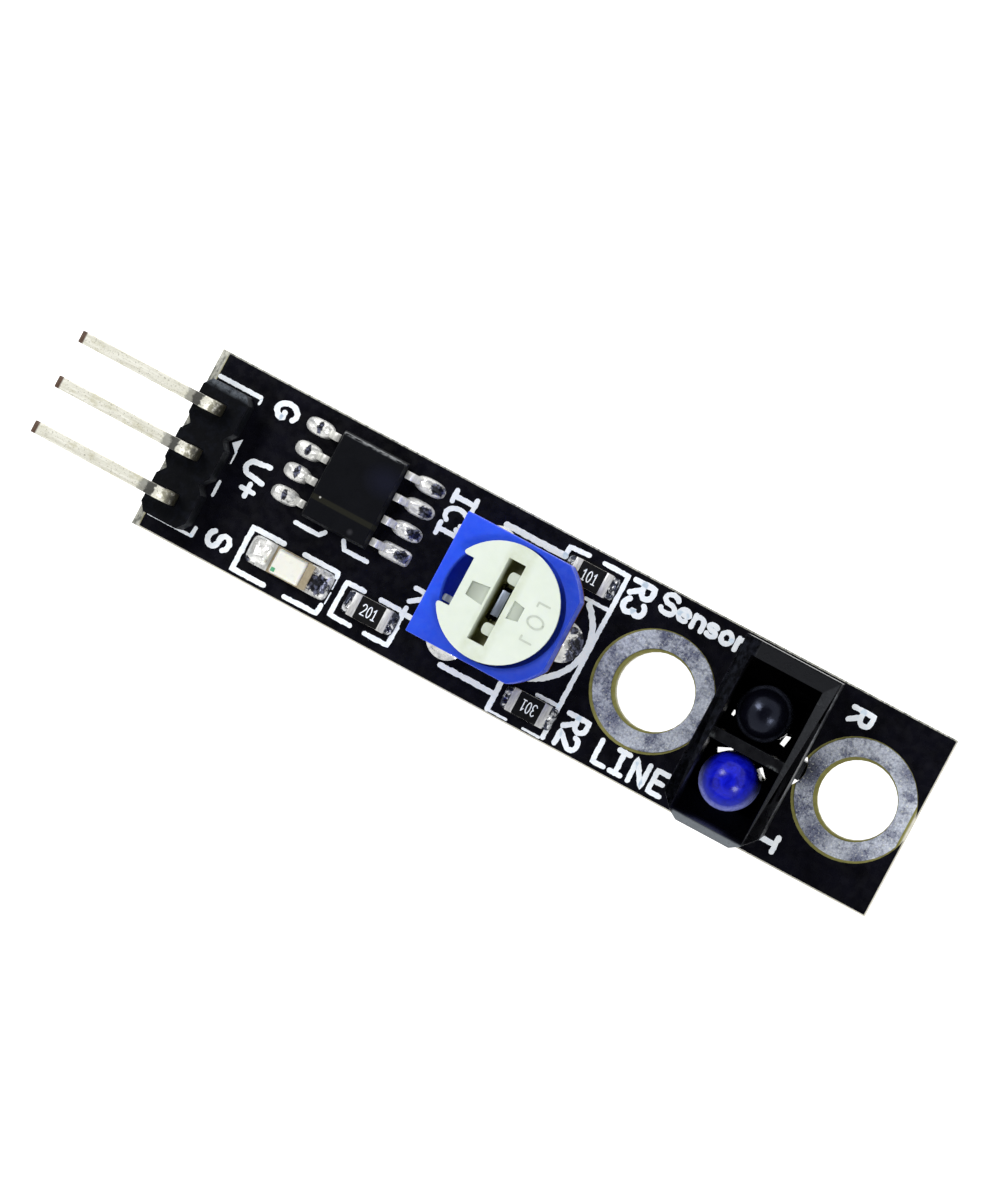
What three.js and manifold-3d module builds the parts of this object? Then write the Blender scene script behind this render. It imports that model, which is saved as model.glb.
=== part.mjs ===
// Infrared line-tracking sensor module: a small circuit board with a bent three-pin header, an
// eight-lead comparator, an indicator LED, three chip resistors, a trimmer potentiometer and a
// reflective optical sensor, and two mounting holes.
//
// Millimetres. +X runs along the board from the header to the optical sensor, +Y across it and +Z
// out of its component side. Each sub-part is drawn with z = 0 on the component side, and the
// whole is then shifted, so that the origin is at the bottom centre of its box.

import * as THREE from 'three';
import { mergeVertices } from 'three/addons/utils/BufferGeometryUtils.js';
import Module from 'manifold-3d';

const wasm = await Module();
wasm.setup();

// ---- Driving dimensions -------------------------------------------------------------------------

const FIT = 0.02;        // clearance between pieces that touch
const PROTRUSION = 1.8;  // how far leads and snap hooks stand out below the board
const ROUND = 40;        // segments of the large circles
const SMALL_ROUND = 16;  // segments of the small circles

const BOARD = { left: -21.26, right: 20.88, width: 10, thickness: 1.6 };
const UNDERSIDE = -BOARD.thickness;
const LOWEST = UNDERSIDE - PROTRUSION;

const MOUNT_HOLES = { x: [6.29, 17.81], y: -0.02, diameter: 4.05 };
const RING = { outer: 6.2, inner: 4.3, thickness: 0.05, shift: -0.1, trimRight: 20.58 };

const HEADER = { x: -19.7, y: -0.32, pitch: 2.54, height: 2.54, chamferX: 0.34, chamferY: 0.46 };
const PIN = { width: 0.64, tip: -27.3, axisHeight: 4.1, bendRadius: 0.76, point: 0.12, taper: 0.28 };
const PIN_ROWS = [1, 0, -1].map((row) => HEADER.y + row * HEADER.pitch);

const COMPARATOR = {
  x: -11.84, y: 1.86, width: 3.75, length: 4.9, draft: 0.15, bottom: 0.15, middle: 0.85, top: 1.6,
};
const LEAD = { pitch: 1.27, width: 0.42, thickness: 0.2, shoulder: 0.3, span: 6.2, foot: 0.7 };

const CHIP = { length: 2, width: 1.25, height: 0.5, wrap: 0.32, plating: 0.04 };
const RESISTORS = [{ x: -8.31, y: -3.29 }, { x: 1.05, y: -3.73 }, { x: 0.7, y: 3.54 }];

const LED = {
  x: -13.0, y: -3.2, length: 3.2, width: 1.45, base: 0.35, lensLength: 1.75, lensTop: 1.05, wrap: 0.6,
};

const TRIMMER = { left: -5.92, right: 1.12, front: -3.07, back: 3.65, bottom: 1.5, top: 4.45 };
const TRIMMER_AXIS = { x: -2.42, y: 0.32 };
const TRIMMER_CORNER_RADIUS = 4.03;
const WELL = { radius: 3.0, floor: 3.0, bore: 1.9, pocket: 2.9, pocketTop: 2.4 };
const RECESS = { x: 0.26, radiusX: 3.12, radiusY: 3.14, floor: 3.98 };
const SUBSTRATE = { inset: 0.12, bottom: 1.0 };
const ROTOR = {
  radius: 3.1, bottom: 4.5, top: 5.0, plug: 2.8, plugBottom: 3.1, hub: 1.8, hubBottom: 2.2,
  slotLeft: -0.36, slotRight: 0.38, slotRamp: 0.2, slotLength: 4.5, slotFloor: 3.9,
  windowLength: 1.8, windowWidth: 0.66,
};
const NOTCH = { inner: -2.1, back: 1.41, front: -1.27, lobeRound: 0.3 };
const LUG = { reach: 0.54, length: 0.62, place: 1.4, drop: 0.15, round: 0.2 };
const POINTER = { depth: 0.16, start: 0.68, left: 1.65, right: 1.3, halfWidth: 0.5, taper: 0.12 };
const WIPER = {
  radius: 2.6, thickness: 0.2, bottom: 1.7, reliefX: -1.3, reliefWidth: 1.2, reliefLength: 3.2,
  tongueX: 0.06, tongueWidth: 0.44, tongueLength: 1.4, top: 4.3,
};
const TERMINAL = { width: 0.7, thickness: 0.35 };
const TERMINALS = [{ x: -4.23, y: 2.66 }, { x: -4.23, y: -2.6 }, { x: 0.92, y: 0.03 }];

const SENSOR = {
  x: 11.9, y: -0.04, width: 5.26, length: 9.75, bottom: 0.12, top: 7,
  cornerX: 1.15, cornerY: 1.1, cornerBendX: 0.62, cornerBendY: 0.27,
  rim: 0.66, rimBack: 0.86, rimFront: 0.44, rimSlope: 0.26, rimFlat: 0.06,
  chamferDrop: 0.55, chamferFlat: 0.05,
  floorTop: 0.8, divider: 0.58, dividerY: -0.2, dividerTop: 6.1, dividerBite: 0.1,
};
const DIODE = {
  x: 11.8, rows: [-2.06, 1.7], radii: [1.5, 1.44], base: 0.86, shoulder: 4.9, top: 6.3,
  footWidth: 3.5, footLength: 1.3, footHeight: 1.6,
};
const DIODE_LEAD = { pitch: 2.54, thickness: 0.45, outward: 0.6, clear: 0.85 };
const HOOK = {
  spread: 1.58, x: 11.96, holeDiameter: 2.6, holeGap: 0.12, width: 1.0, stem: 0.95,
  barb: 0.5, ledge: 0.55, tip: 0.25, root: 0.3,
};
const GAPS = [
  { x: 13.24, y: 0.98, length: 0.7, width: 0.26, turn: 80 },
  { x: 10.3, y: 0.95, length: 0.3, width: 0.16, turn: 85 },
  { x: 10.8, y: -0.9, length: 0.8, width: 0.26, turn: 25 },
  { x: 13.0, y: -1.1, length: 0.65, width: 0.2, turn: -48 },
];

const HOLE = { pin: 1.02, terminal: 1.0, diodeLead: 0.75 };
const SOLDER = { rise: 0.75, foot: 0.95, diodeFoot: 0.81 };
const SOLDER_TOP = { rise: 0.55, foot: 1.12 };
const LEAD_END = 0.3;    // how far short of the pins the other leads stop below the board

const STEEL_GREY = 0xc9c7bf;
const materials = {
  mask: standard(0x0b0c12, 0.35, 0),
  tin: standard(0x9a9fa8, 0.45, 0.9),
  solder: standard(0xc4c8ce, 0.25, 0.95),
  blackNylon: standard(0x15161a, 0.55, 0),
  epoxy: standard(0x17181a, 0.6, 0),
  pinMetal: standard(STEEL_GREY, 0.35, 0.9),
  ceramic: standard(0x101114, 0.4, 0),
  lens: standard(0xe9e3cf, 0.35, 0),
  laminate: standard(0xd9d2b4, 0.6, 0),
  phenolic: standard(0x5a3420, 0.65, 0),
  blue: standard(0x1f49e0, 0.45, 0),
  ivory: standard(0xf0f3e6, 0.4, 0),
  wiper: standard(0x8c97a6, 0.35, 0.9),
  blueEpoxy: standard(0x0a12c8, 0.15, 0),
  darkEpoxy: standard(0x07070b, 0.12, 0),
};

function standard(color, roughness, metalness) {
  return new THREE.MeshStandardMaterial({ color, roughness, metalness });
}

// ---- Helpers ------------------------------------------------------------------------------------

const design = new THREE.Group();

function group(x, y, z = 0) {
  const holder = new THREE.Group();
  holder.position.set(x, y, z);
  design.add(holder);
  return holder;
}

function addPart(parent, name, geometry, material, position = [0, 0, 0], turn = 0) {
  const mesh = new THREE.Mesh(geometry, material);
  mesh.name = name;
  mesh.position.set(...position);
  mesh.rotation.z = turn;
  parent.add(mesh);
  return mesh;
}

function outline(points) {
  return new THREE.Shape(points.map(([x, y]) => new THREE.Vector2(x, y)));
}

function rectangle(width, length, x = 0, y = 0) {
  const [halfX, halfY] = [width / 2, length / 2];
  return outline([
    [x - halfX, y - halfY], [x + halfX, y - halfY], [x + halfX, y + halfY], [x - halfX, y + halfY],
  ]);
}

function circle(radius, x = 0, y = 0, Kind = THREE.Shape) {
  const ring = new Kind();
  ring.absarc(x, y, radius, 0, 2 * Math.PI, false);
  return ring;
}

// A shape in the XY plane, raised from one height to another.
function prism(shape, bottom, top, segments = ROUND) {
  const options = { depth: top - bottom, bevelEnabled: false, curveSegments: segments };
  return new THREE.ExtrudeGeometry(shape, options).translate(0, 0, bottom);
}

// A shape in the XZ plane, given a width along Y about y = 0.
function slab(shape, width, segments = 6) {
  const options = { depth: width, bevelEnabled: false, curveSegments: segments };
  return new THREE.ExtrudeGeometry(shape, options).rotateX(Math.PI / 2).translate(0, width / 2, 0);
}

function box(width, length, bottom, top, x = 0, y = 0) {
  return prism(rectangle(width, length, x, y), bottom, top);
}

function cylinder(radius, bottom, top, x = 0, y = 0, segments = ROUND) {
  return prism(circle(radius, x, y), bottom, top, segments / 2);
}

// A ring of revolution about Z from a closed profile of [radius, height] points.
function turned(profile, segments) {
  const closed = [...profile, profile[0]].map(([radius, height]) => new THREE.Vector2(radius, height));
  return new THREE.LatheGeometry(closed, segments).rotateX(Math.PI / 2);
}

// A body of revolution about Z, from an open profile that starts and ends on the axis.
function turnedSolid(profile, segments) {
  const points = profile.map(([radius, height]) => new THREE.Vector2(radius, height));
  return new THREE.LatheGeometry(points, segments).rotateX(Math.PI / 2);
}

function toSolid(geometry) {
  const bare = geometry.clone();
  bare.deleteAttribute('normal');
  bare.deleteAttribute('uv');
  const merged = mergeVertices(bare, 1e-5);
  return new wasm.Manifold(new wasm.Mesh({
    numProp: 3,
    vertProperties: Float32Array.from(merged.attributes.position.array),
    triVerts: Uint32Array.from(merged.index.array),
  }));
}

function toGeometry(solid) {
  const mesh = solid.getMesh();
  const geometry = new THREE.BufferGeometry();
  geometry.setAttribute('position', new THREE.BufferAttribute(mesh.vertProperties, 3));
  geometry.setIndex(new THREE.BufferAttribute(mesh.triVerts, 1));
  geometry.computeVertexNormals();
  return geometry;
}

function cut(geometry, ...tools) {
  return toGeometry(tools.reduce((left, tool) => left.subtract(toSolid(tool)), toSolid(geometry)));
}

function join(geometry, ...others) {
  return toGeometry(others.reduce((sum, other) => sum.add(toSolid(other)), toSolid(geometry)));
}

function common(geometry, other) {
  return toGeometry(toSolid(geometry).intersect(toSolid(other)));
}

// ---- Circuit board and its tinned rings ---------------------------------------------------------

function diodeLeadPlaces() {
  return DIODE.rows.flatMap((y) => [-1, 1].map((side) => ({
    x: DIODE.x + side * DIODE_LEAD.pitch / 2,
    y: y + Math.sign(y) * DIODE_LEAD.outward,
  })));
}

function hookPlaces() {
  return [-1, 1].map((side) => ({ side, x: HOOK.x + side * HOOK.spread, y: SENSOR.y }));
}

function boardGeometry() {
  const centre = (BOARD.left + BOARD.right) / 2;
  const shape = rectangle(BOARD.right - BOARD.left, BOARD.width, centre, 0);
  const drill = (diameter, x, y) => shape.holes.push(circle(diameter / 2, x, y, THREE.Path));
  MOUNT_HOLES.x.forEach((x) => drill(MOUNT_HOLES.diameter, x, MOUNT_HOLES.y));
  PIN_ROWS.forEach((y) => drill(HOLE.pin, HEADER.x, y));
  TERMINALS.forEach(({ x, y }) => drill(HOLE.terminal, x, y));
  diodeLeadPlaces().forEach(({ x, y }) => drill(HOLE.diodeLead, x, y));
  hookPlaces().forEach(({ x, y }) => drill(HOOK.holeDiameter, x, y));
  return prism(shape, UNDERSIDE, 0, SMALL_ROUND);
}

// A tinned ring round a mounting hole. The snap hook holes bite into it, and the one at the end
// of the board is trimmed straight.
function ringGeometry(x, bottom) {
  const shape = circle(RING.outer / 2, x + RING.shift, MOUNT_HOLES.y);
  shape.holes.push(circle(RING.inner / 2, x + RING.shift, MOUNT_HOLES.y, THREE.Path));
  const ring = prism(shape, bottom, bottom + RING.thickness, ROUND / 2);
  const bites = hookPlaces().map((hook) => (
    cylinder(HOOK.holeDiameter / 2 + FIT, bottom - 1, bottom + 1, hook.x, hook.y, SMALL_ROUND * 2)));
  const beyond = box(4, BOARD.width, bottom - 1, bottom + 1, RING.trimRight + 2, 0);
  return cut(ring, ...bites, beyond);
}

const boardGroup = group(0, 0);
addPart(boardGroup, 'circuit_board', boardGeometry(), materials.mask);
MOUNT_HOLES.x.forEach((x, index) => {
  const number = index + 1;
  addPart(boardGroup, `hole_ring_top_${number}`, ringGeometry(x, FIT), materials.tin);
  addPart(boardGroup, `hole_ring_under_${number}`,
    ringGeometry(x, UNDERSIDE - FIT - RING.thickness), materials.tin);
});

// ---- Pin header ---------------------------------------------------------------------------------

// Three eight-sided blocks in a row, with a bore through each for its pin.
function headerGeometry() {
  const half = HEADER.pitch / 2;
  const leftSide = [];
  const rightSide = [];
  PIN_ROWS.forEach((row) => {
    const y = row - HEADER.y;
    leftSide.push([-half + HEADER.chamferX, y + half - FIT], [-half, y + half - HEADER.chamferY]);
    leftSide.push([-half, y - half + HEADER.chamferY], [-half + HEADER.chamferX, y - half + FIT]);
  });
  leftSide.forEach(([x, y]) => rightSide.unshift([-x, y]));
  const shape = outline([...leftSide, ...rightSide]);
  const bores = PIN_ROWS.map((row) => (
    box(PIN.width + 2 * FIT, PIN.width + 2 * FIT, -1, HEADER.height + 1, 0, row - HEADER.y)));
  return cut(prism(shape, FIT, HEADER.height), ...bores);
}

// A square pin: straight up through the board and housing, then bent to point along -X.
function pinGeometry() {
  const half = PIN.width / 2;
  const reach = PIN.tip - HEADER.x;
  const { bendRadius, axisHeight, point, taper } = PIN;
  const shape = new THREE.Shape();
  shape.moveTo(-half, LOWEST + point);
  shape.lineTo(-half + point, LOWEST);
  shape.lineTo(half - point, LOWEST);
  shape.lineTo(half, LOWEST + point);
  shape.absarc(-bendRadius, axisHeight - bendRadius, bendRadius + half, 0, Math.PI / 2, false);
  shape.lineTo(reach + taper, axisHeight + half);
  shape.lineTo(reach, axisHeight + half - point);
  shape.lineTo(reach, axisHeight - half + point);
  shape.lineTo(reach + taper, axisHeight - half);
  shape.absarc(-bendRadius, axisHeight - bendRadius, bendRadius - half, Math.PI / 2, 0, true);
  return slab(shape, PIN.width, 8);
}

// A solder cone round a lead, standing on the board or hanging under it.
function solderGeometry(leadRadius, foot, rise) {
  const inner = leadRadius + FIT;
  const fillet = [0, 0.04, 0.22, 0.5, 1];
  const outside = fillet.map((spread, step) => (
    [inner + (foot - inner) * spread, rise * (1 - step / (fillet.length - 1))]));
  return turned([[inner, 0], ...outside.reverse()], SMALL_ROUND);
}

const PIN_DIAGONAL = PIN.width * Math.SQRT1_2;
const header = group(HEADER.x, HEADER.y);
addPart(header, 'header_housing', headerGeometry(), materials.blackNylon);
PIN_ROWS.forEach((row, index) => {
  const y = row - HEADER.y;
  addPart(header, `header_pin_${index + 1}`, pinGeometry(), materials.pinMetal, [0, y, 0]);
  const cone = solderGeometry(PIN_DIAGONAL, SOLDER.foot, SOLDER.rise).rotateX(Math.PI);
  addPart(header, `header_solder_${index + 1}`, cone, materials.solder, [0, y, UNDERSIDE - FIT]);
});

// ---- Comparator ---------------------------------------------------------------------------------

// A solid through a stack of rectangles, each given by its left, right, front, back and height.
function stackedBlock(levels) {
  const rings = levels.map(({ left, right, front, back, z }) => (
    [[left, front, z], [right, front, z], [right, back, z], [left, back, z]]));
  const positions = rings.flat(2);
  const index = [0, 2, 1, 0, 3, 2];
  for (let ring = 0; ring < rings.length - 1; ring += 1) {
    for (let side = 0; side < 4; side += 1) {
      const a = ring * 4 + side;
      const b = ring * 4 + (side + 1) % 4;
      index.push(a, b, b + 4, a, b + 4, a + 4);
    }
  }
  const last = (rings.length - 1) * 4;
  index.push(last, last + 1, last + 2, last, last + 2, last + 3);
  const geometry = new THREE.BufferGeometry();
  geometry.setAttribute('position', new THREE.Float32BufferAttribute(positions, 3));
  geometry.setIndex(index);
  geometry.computeVertexNormals();
  return geometry;
}

// A moulded body whose sides lean in above and below its parting line.
function draftedBlock(width, length, draft, levels) {
  const [bottom, middle, top] = levels;
  const level = (inset, z) => {
    const [halfX, halfY] = [width / 2 - inset, length / 2 - inset];
    return { left: -halfX, right: halfX, front: -halfY, back: halfY, z };
  };
  return stackedBlock([level(draft, bottom), level(0, middle), level(draft, top)]);
}

// A gull-wing lead, drawn for the +X side: out of the body, down and out along its pad.
function gullWingGeometry() {
  const { thickness, shoulder, span, foot, width } = LEAD;
  const start = COMPARATOR.width / 2 + FIT;
  const axis = COMPARATOR.middle;
  const toe = span / 2;
  const heel = toe - foot;
  const shape = outline([
    [start, axis - thickness / 2], [start + shoulder - thickness * 0.7, axis - thickness / 2],
    [start + shoulder - thickness * 0.2, axis - thickness], [heel - thickness * 0.4, FIT + thickness * 0.5],
    [heel + thickness * 0.1, FIT], [toe, FIT], [toe, FIT + thickness], [heel + thickness, FIT + thickness],
    [heel + thickness * 0.7, FIT + thickness * 1.3], [start + shoulder + thickness * 0.7, axis],
    [start + shoulder, axis + thickness / 2], [start, axis + thickness / 2],
  ]);
  return slab(shape, width);
}

const comparator = group(COMPARATOR.x, COMPARATOR.y);
const comparatorBody = draftedBlock(COMPARATOR.width, COMPARATOR.length, COMPARATOR.draft,
  [COMPARATOR.bottom, COMPARATOR.middle, COMPARATOR.top]);
addPart(comparator, 'comparator_body', comparatorBody, materials.epoxy);
for (let lead = 0; lead < 8; lead += 1) {
  const right = lead >= 4;
  const y = ((lead % 4) - 1.5) * LEAD.pitch;
  addPart(comparator, `comparator_lead_${lead + 1}`, gullWingGeometry(), materials.solder,
    [0, y, 0], right ? 0 : Math.PI);
}

// ---- Chip resistors and LED ---------------------------------------------------------------------

// A plated end: a C in section, wrapped over the top, the end and the bottom of a chip's +X end.
function endCapGeometry(length, width, height, wrap) {
  const { plating } = CHIP;
  const inner = length / 2 + FIT;
  const outer = inner + plating;
  const start = length / 2 - wrap;
  const base = FIT + plating;
  const lid = base + height + 2 * FIT;
  const shape = outline([
    [start, FIT], [outer, FIT], [outer, lid + plating], [start, lid + plating],
    [start, lid], [inner, lid], [inner, base], [start, base],
  ]);
  return slab(shape, width);
}

RESISTORS.forEach(({ x, y }, index) => {
  const name = `resistor_${index + 1}`;
  const holder = group(x, y);
  const base = CHIP.plating + 2 * FIT;
  addPart(holder, name, box(CHIP.length, CHIP.width, base, base + CHIP.height), materials.ceramic);
  const cap = endCapGeometry(CHIP.length, CHIP.width, CHIP.height, CHIP.wrap);
  addPart(holder, `${name}_end_left`, cap, materials.tin, [0, 0, 0], Math.PI);
  addPart(holder, `${name}_end_right`, cap.clone(), materials.tin);
});

const led = group(LED.x, LED.y);
const ledBase = CHIP.plating + 2 * FIT;
const ledLens = draftedBlock(LED.lensLength, LED.width - 0.06, 0.12,
  [ledBase + LED.base + FIT, ledBase + LED.base + 0.2, LED.lensTop]);
addPart(led, 'led_base', box(LED.length, LED.width, ledBase, ledBase + LED.base), materials.laminate);
addPart(led, 'led_lens', ledLens, materials.lens);
const ledCap = endCapGeometry(LED.length, LED.width, LED.base, LED.wrap);
addPart(led, 'led_end_left', ledCap, materials.tin, [0, 0, 0], Math.PI);
addPart(led, 'led_end_right', ledCap.clone(), materials.tin);

// ---- Trimmer potentiometer ----------------------------------------------------------------------

// The plan of the case: square at the left, and rounded about the rotor's axis at the right.
function caseShape() {
  const left = TRIMMER.left - TRIMMER_AXIS.x;
  const right = TRIMMER.right - TRIMMER_AXIS.x;
  const front = TRIMMER.front - TRIMMER_AXIS.y;
  const back = TRIMMER.back - TRIMMER_AXIS.y;
  const radius = TRIMMER_CORNER_RADIUS;
  const shape = new THREE.Shape();
  shape.moveTo(left, back);
  shape.lineTo(left, front);
  shape.absarc(0, 0, radius, Math.asin(front / radius), -Math.acos(right / radius), false);
  shape.absarc(0, 0, radius, Math.acos(right / radius), Math.asin(back / radius), false);
  return shape;
}

// The case has a round well for the rotor's plug, a bore for its hub, a pocket under it for the
// wiper, and a lower crescent-shaped shelf beside the rotor on the rounded side.
function caseGeometry() {
  const crescent = new THREE.Shape();
  crescent.absellipse(RECESS.x, 0, RECESS.radiusX, RECESS.radiusY, 0, 2 * Math.PI, false, 0);
  return cut(
    prism(caseShape(), TRIMMER.bottom, TRIMMER.top, 8),
    cylinder(WELL.radius, WELL.floor, TRIMMER.top + 1, 0, 0, ROUND + 8),
    cylinder(WELL.bore, TRIMMER.bottom - 1, TRIMMER.top + 1),
    cylinder(WELL.pocket, TRIMMER.bottom - 1, WELL.pocketTop),
    prism(crescent, RECESS.floor, TRIMMER.top + 1, ROUND / 2 + 4),
  );
}

// The plan of the rotor's disc: a circle with a square notch in its left side, between two lobes
// with rounded tips.
function discShape() {
  const { radius } = ROTOR;
  const { inner, back, front, lobeRound } = NOTCH;
  const edge = (y) => -Math.sqrt(radius ** 2 - y ** 2);
  const frontAngle = Math.atan2(front, edge(front)) + lobeRound / radius;
  const backAngle = Math.atan2(back, edge(back)) - lobeRound / radius;
  const shape = new THREE.Shape();
  shape.absarc(0, 0, radius, frontAngle, backAngle, false);
  shape.quadraticCurveTo(edge(back), back, edge(back) + lobeRound, back);
  shape.lineTo(inner, back);
  shape.lineTo(inner, front);
  shape.lineTo(edge(front) + lobeRound, front);
  shape.quadraticCurveTo(edge(front), front, radius * Math.cos(frontAngle), radius * Math.sin(frontAngle));
  return shape;
}

// A shallow pocket in the disc beside the slot, narrower at its outer end.
function pointerPocket(side, end) {
  const { depth, start, halfWidth, taper } = POINTER;
  const narrow = halfWidth - taper;
  const shape = outline([
    [side * start, -halfWidth], [side * end, -narrow], [side * end, narrow], [side * start, halfWidth],
  ]);
  return prism(shape, ROTOR.top - depth, ROTOR.top + 1);
}

// A tongue that stands into the slot from its right wall, with a rounded end.
function lugGeometry(y) {
  const right = ROTOR.slotRight + LUG.round;
  const left = ROTOR.slotRight - LUG.reach;
  const half = LUG.length / 2;
  const shape = new THREE.Shape();
  shape.moveTo(right, y - half);
  shape.lineTo(right, y + half);
  shape.lineTo(left + LUG.round, y + half);
  shape.quadraticCurveTo(left, y + half, left, y);
  shape.quadraticCurveTo(left, y - half, left + LUG.round, y - half);
  return prism(shape, ROTOR.slotFloor - 0.1, ROTOR.top - LUG.drop, 4);
}

// The white disc with its screwdriver slot, two lugs in the slot, a window in the middle of the
// slot, a pocket on each side of it, a plug in the well of the case and a hub down its bore.
function rotorGeometry() {
  const { bottom, top, plug, plugBottom, hub, hubBottom } = ROTOR;
  const { slotLeft, slotRight, slotRamp, slotLength, slotFloor, windowLength, windowWidth } = ROTOR;
  const core = join(
    cylinder(plug, plugBottom, bottom + 0.1),
    cylinder(hub, hubBottom, plugBottom + 0.1),
  );
  const notch = box(plug, NOTCH.back - NOTCH.front, hubBottom - 1, top + 1,
    NOTCH.inner - plug / 2, (NOTCH.back + NOTCH.front) / 2);
  const body = join(prism(discShape(), bottom, top, ROUND / 2 + 4), cut(core, notch));
  const lift = 0.1;
  const rampLift = slotRamp * (1 + lift / (top - slotFloor));
  const slot = slab(outline([
    [slotLeft, slotFloor], [slotRight, slotFloor], [slotRight, top + lift], [slotLeft - rampLift, top + lift],
  ]), slotLength);
  const window = box(windowWidth, windowLength, hubBottom - 1, slotFloor + lift,
    (slotLeft + slotRight) / 2, 0);
  const pockets = [pointerPocket(-1, POINTER.left), pointerPocket(1, POINTER.right)];
  return join(cut(body, slot, window, ...pockets), lugGeometry(LUG.place), lugGeometry(-LUG.place));
}

// The sprung contact: a disc that rides under the hub, with a tongue up into the slot's window.
function wiperGeometry() {
  const { radius, thickness, bottom, reliefX, reliefWidth, reliefLength } = WIPER;
  const plate = cylinder(radius, bottom, bottom + thickness);
  const tongue = box(WIPER.tongueWidth, WIPER.tongueLength, bottom + thickness / 2, WIPER.top,
    WIPER.tongueX, 0);
  const relief = box(reliefWidth, reliefLength, bottom - 1, bottom + 1, reliefX, 0);
  return cut(join(plate, tongue), relief);
}

const trimmer = group(TRIMMER_AXIS.x, TRIMMER_AXIS.y);
const substrateTop = TRIMMER.bottom - FIT;
const substrate = prism(caseShape(SUBSTRATE.inset), SUBSTRATE.bottom, substrateTop, 8);
addPart(trimmer, 'trimmer_case', caseGeometry(), materials.blue);
addPart(trimmer, 'trimmer_substrate', substrate, materials.phenolic);
addPart(trimmer, 'trimmer_rotor', rotorGeometry(), materials.ivory);
addPart(trimmer, 'trimmer_wiper', wiperGeometry(), materials.wiper);

const TERMINAL_DIAGONAL = Math.hypot(TERMINAL.width, TERMINAL.thickness) / 2;
TERMINALS.forEach(({ x, y }, index) => {
  const number = index + 1;
  const holder = group(x, y);
  const strip = box(TERMINAL.thickness, TERMINAL.width, LOWEST + LEAD_END, SUBSTRATE.bottom - FIT);
  addPart(holder, `trimmer_terminal_${number}`, strip, materials.pinMetal);
  const above = solderGeometry(TERMINAL_DIAGONAL, SOLDER_TOP.foot, SOLDER_TOP.rise);
  addPart(holder, `trimmer_solder_top_${number}`, above, materials.solder, [0, 0, FIT]);
  const below = solderGeometry(TERMINAL_DIAGONAL, SOLDER.foot, SOLDER.rise).rotateX(Math.PI);
  addPart(holder, `trimmer_solder_under_${number}`, below, materials.solder, [0, 0, UNDERSIDE - FIT]);
});

// ---- Reflective optical sensor ------------------------------------------------------------------

// The plan of the housing: square corners at the back and cut corners at the front.
function housingShape() {
  const right = SENSOR.width / 2;
  const back = SENSOR.length / 2;
  const { cornerX, cornerY } = SENSOR;
  const bendX = right - cornerX * SENSOR.cornerBendX;
  const bendY = -back + cornerY * SENSOR.cornerBendY;
  return outline([
    [-right, back], [-right, -back + cornerY], [-bendX, bendY], [-right + cornerX, -back],
    [right - cornerX, -back], [bendX, bendY], [right, -back + cornerY], [right, back],
  ]);
}

// A hook that passes through its hole in the board and catches under it, drawn for the +X side.
function hookGeometry({ side, x }) {
  const edge = HOOK.holeDiameter / 2;
  const stemOuter = edge - HOOK.holeGap;
  const stemInner = stemOuter - HOOK.stem;
  const catchTop = UNDERSIDE - 2 * FIT - RING.thickness;
  const rootTop = SENSOR.bottom + HOOK.root;
  const points = [
    [stemInner, rootTop], [stemInner, LOWEST + HOOK.tip], [stemInner + HOOK.tip, LOWEST],
    [stemOuter - HOOK.tip, LOWEST],
    [stemOuter + HOOK.barb, catchTop - HOOK.ledge], [stemOuter + HOOK.barb, catchTop],
    [stemOuter, catchTop], [stemOuter, rootTop],
  ];
  const shape = outline(points.map(([along, height]) => [x - SENSOR.x + side * along, height]));
  return slab(shape, HOOK.width);
}

// The space over the rim: its faces slope down into the well from the outer edges of the top.
function rimSpace(wellWidth, wellFront, wellBack) {
  const { width, length, top, rimSlope, rimFlat, cornerY } = SENSOR;
  const outerX = width / 2 - rimFlat;
  const outer = { left: -outerX, right: outerX, front: -length / 2 + cornerY, back: length / 2 - rimFlat };
  return stackedBlock([
    { left: -wellWidth / 2, right: wellWidth / 2, front: wellFront, back: wellBack, z: top - rimSlope },
    { ...outer, z: top },
    { ...outer, z: top + 1 },
  ]);
}

// The wedge beyond the chamfer along the top of the front wall.
function chamferWedge(wellFront) {
  const { width, length, top, chamferDrop, chamferFlat } = SENSOR;
  const inner = wellFront - chamferFlat;
  const slope = chamferDrop / (inner + length / 2);
  const shape = outline([
    [-length / 2 - 1, top - chamferDrop - slope], [inner + 1, top + slope], [-length / 2 - 1, top + slope],
  ]);
  return slab(shape, width).rotateZ(Math.PI / 2);
}

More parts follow.
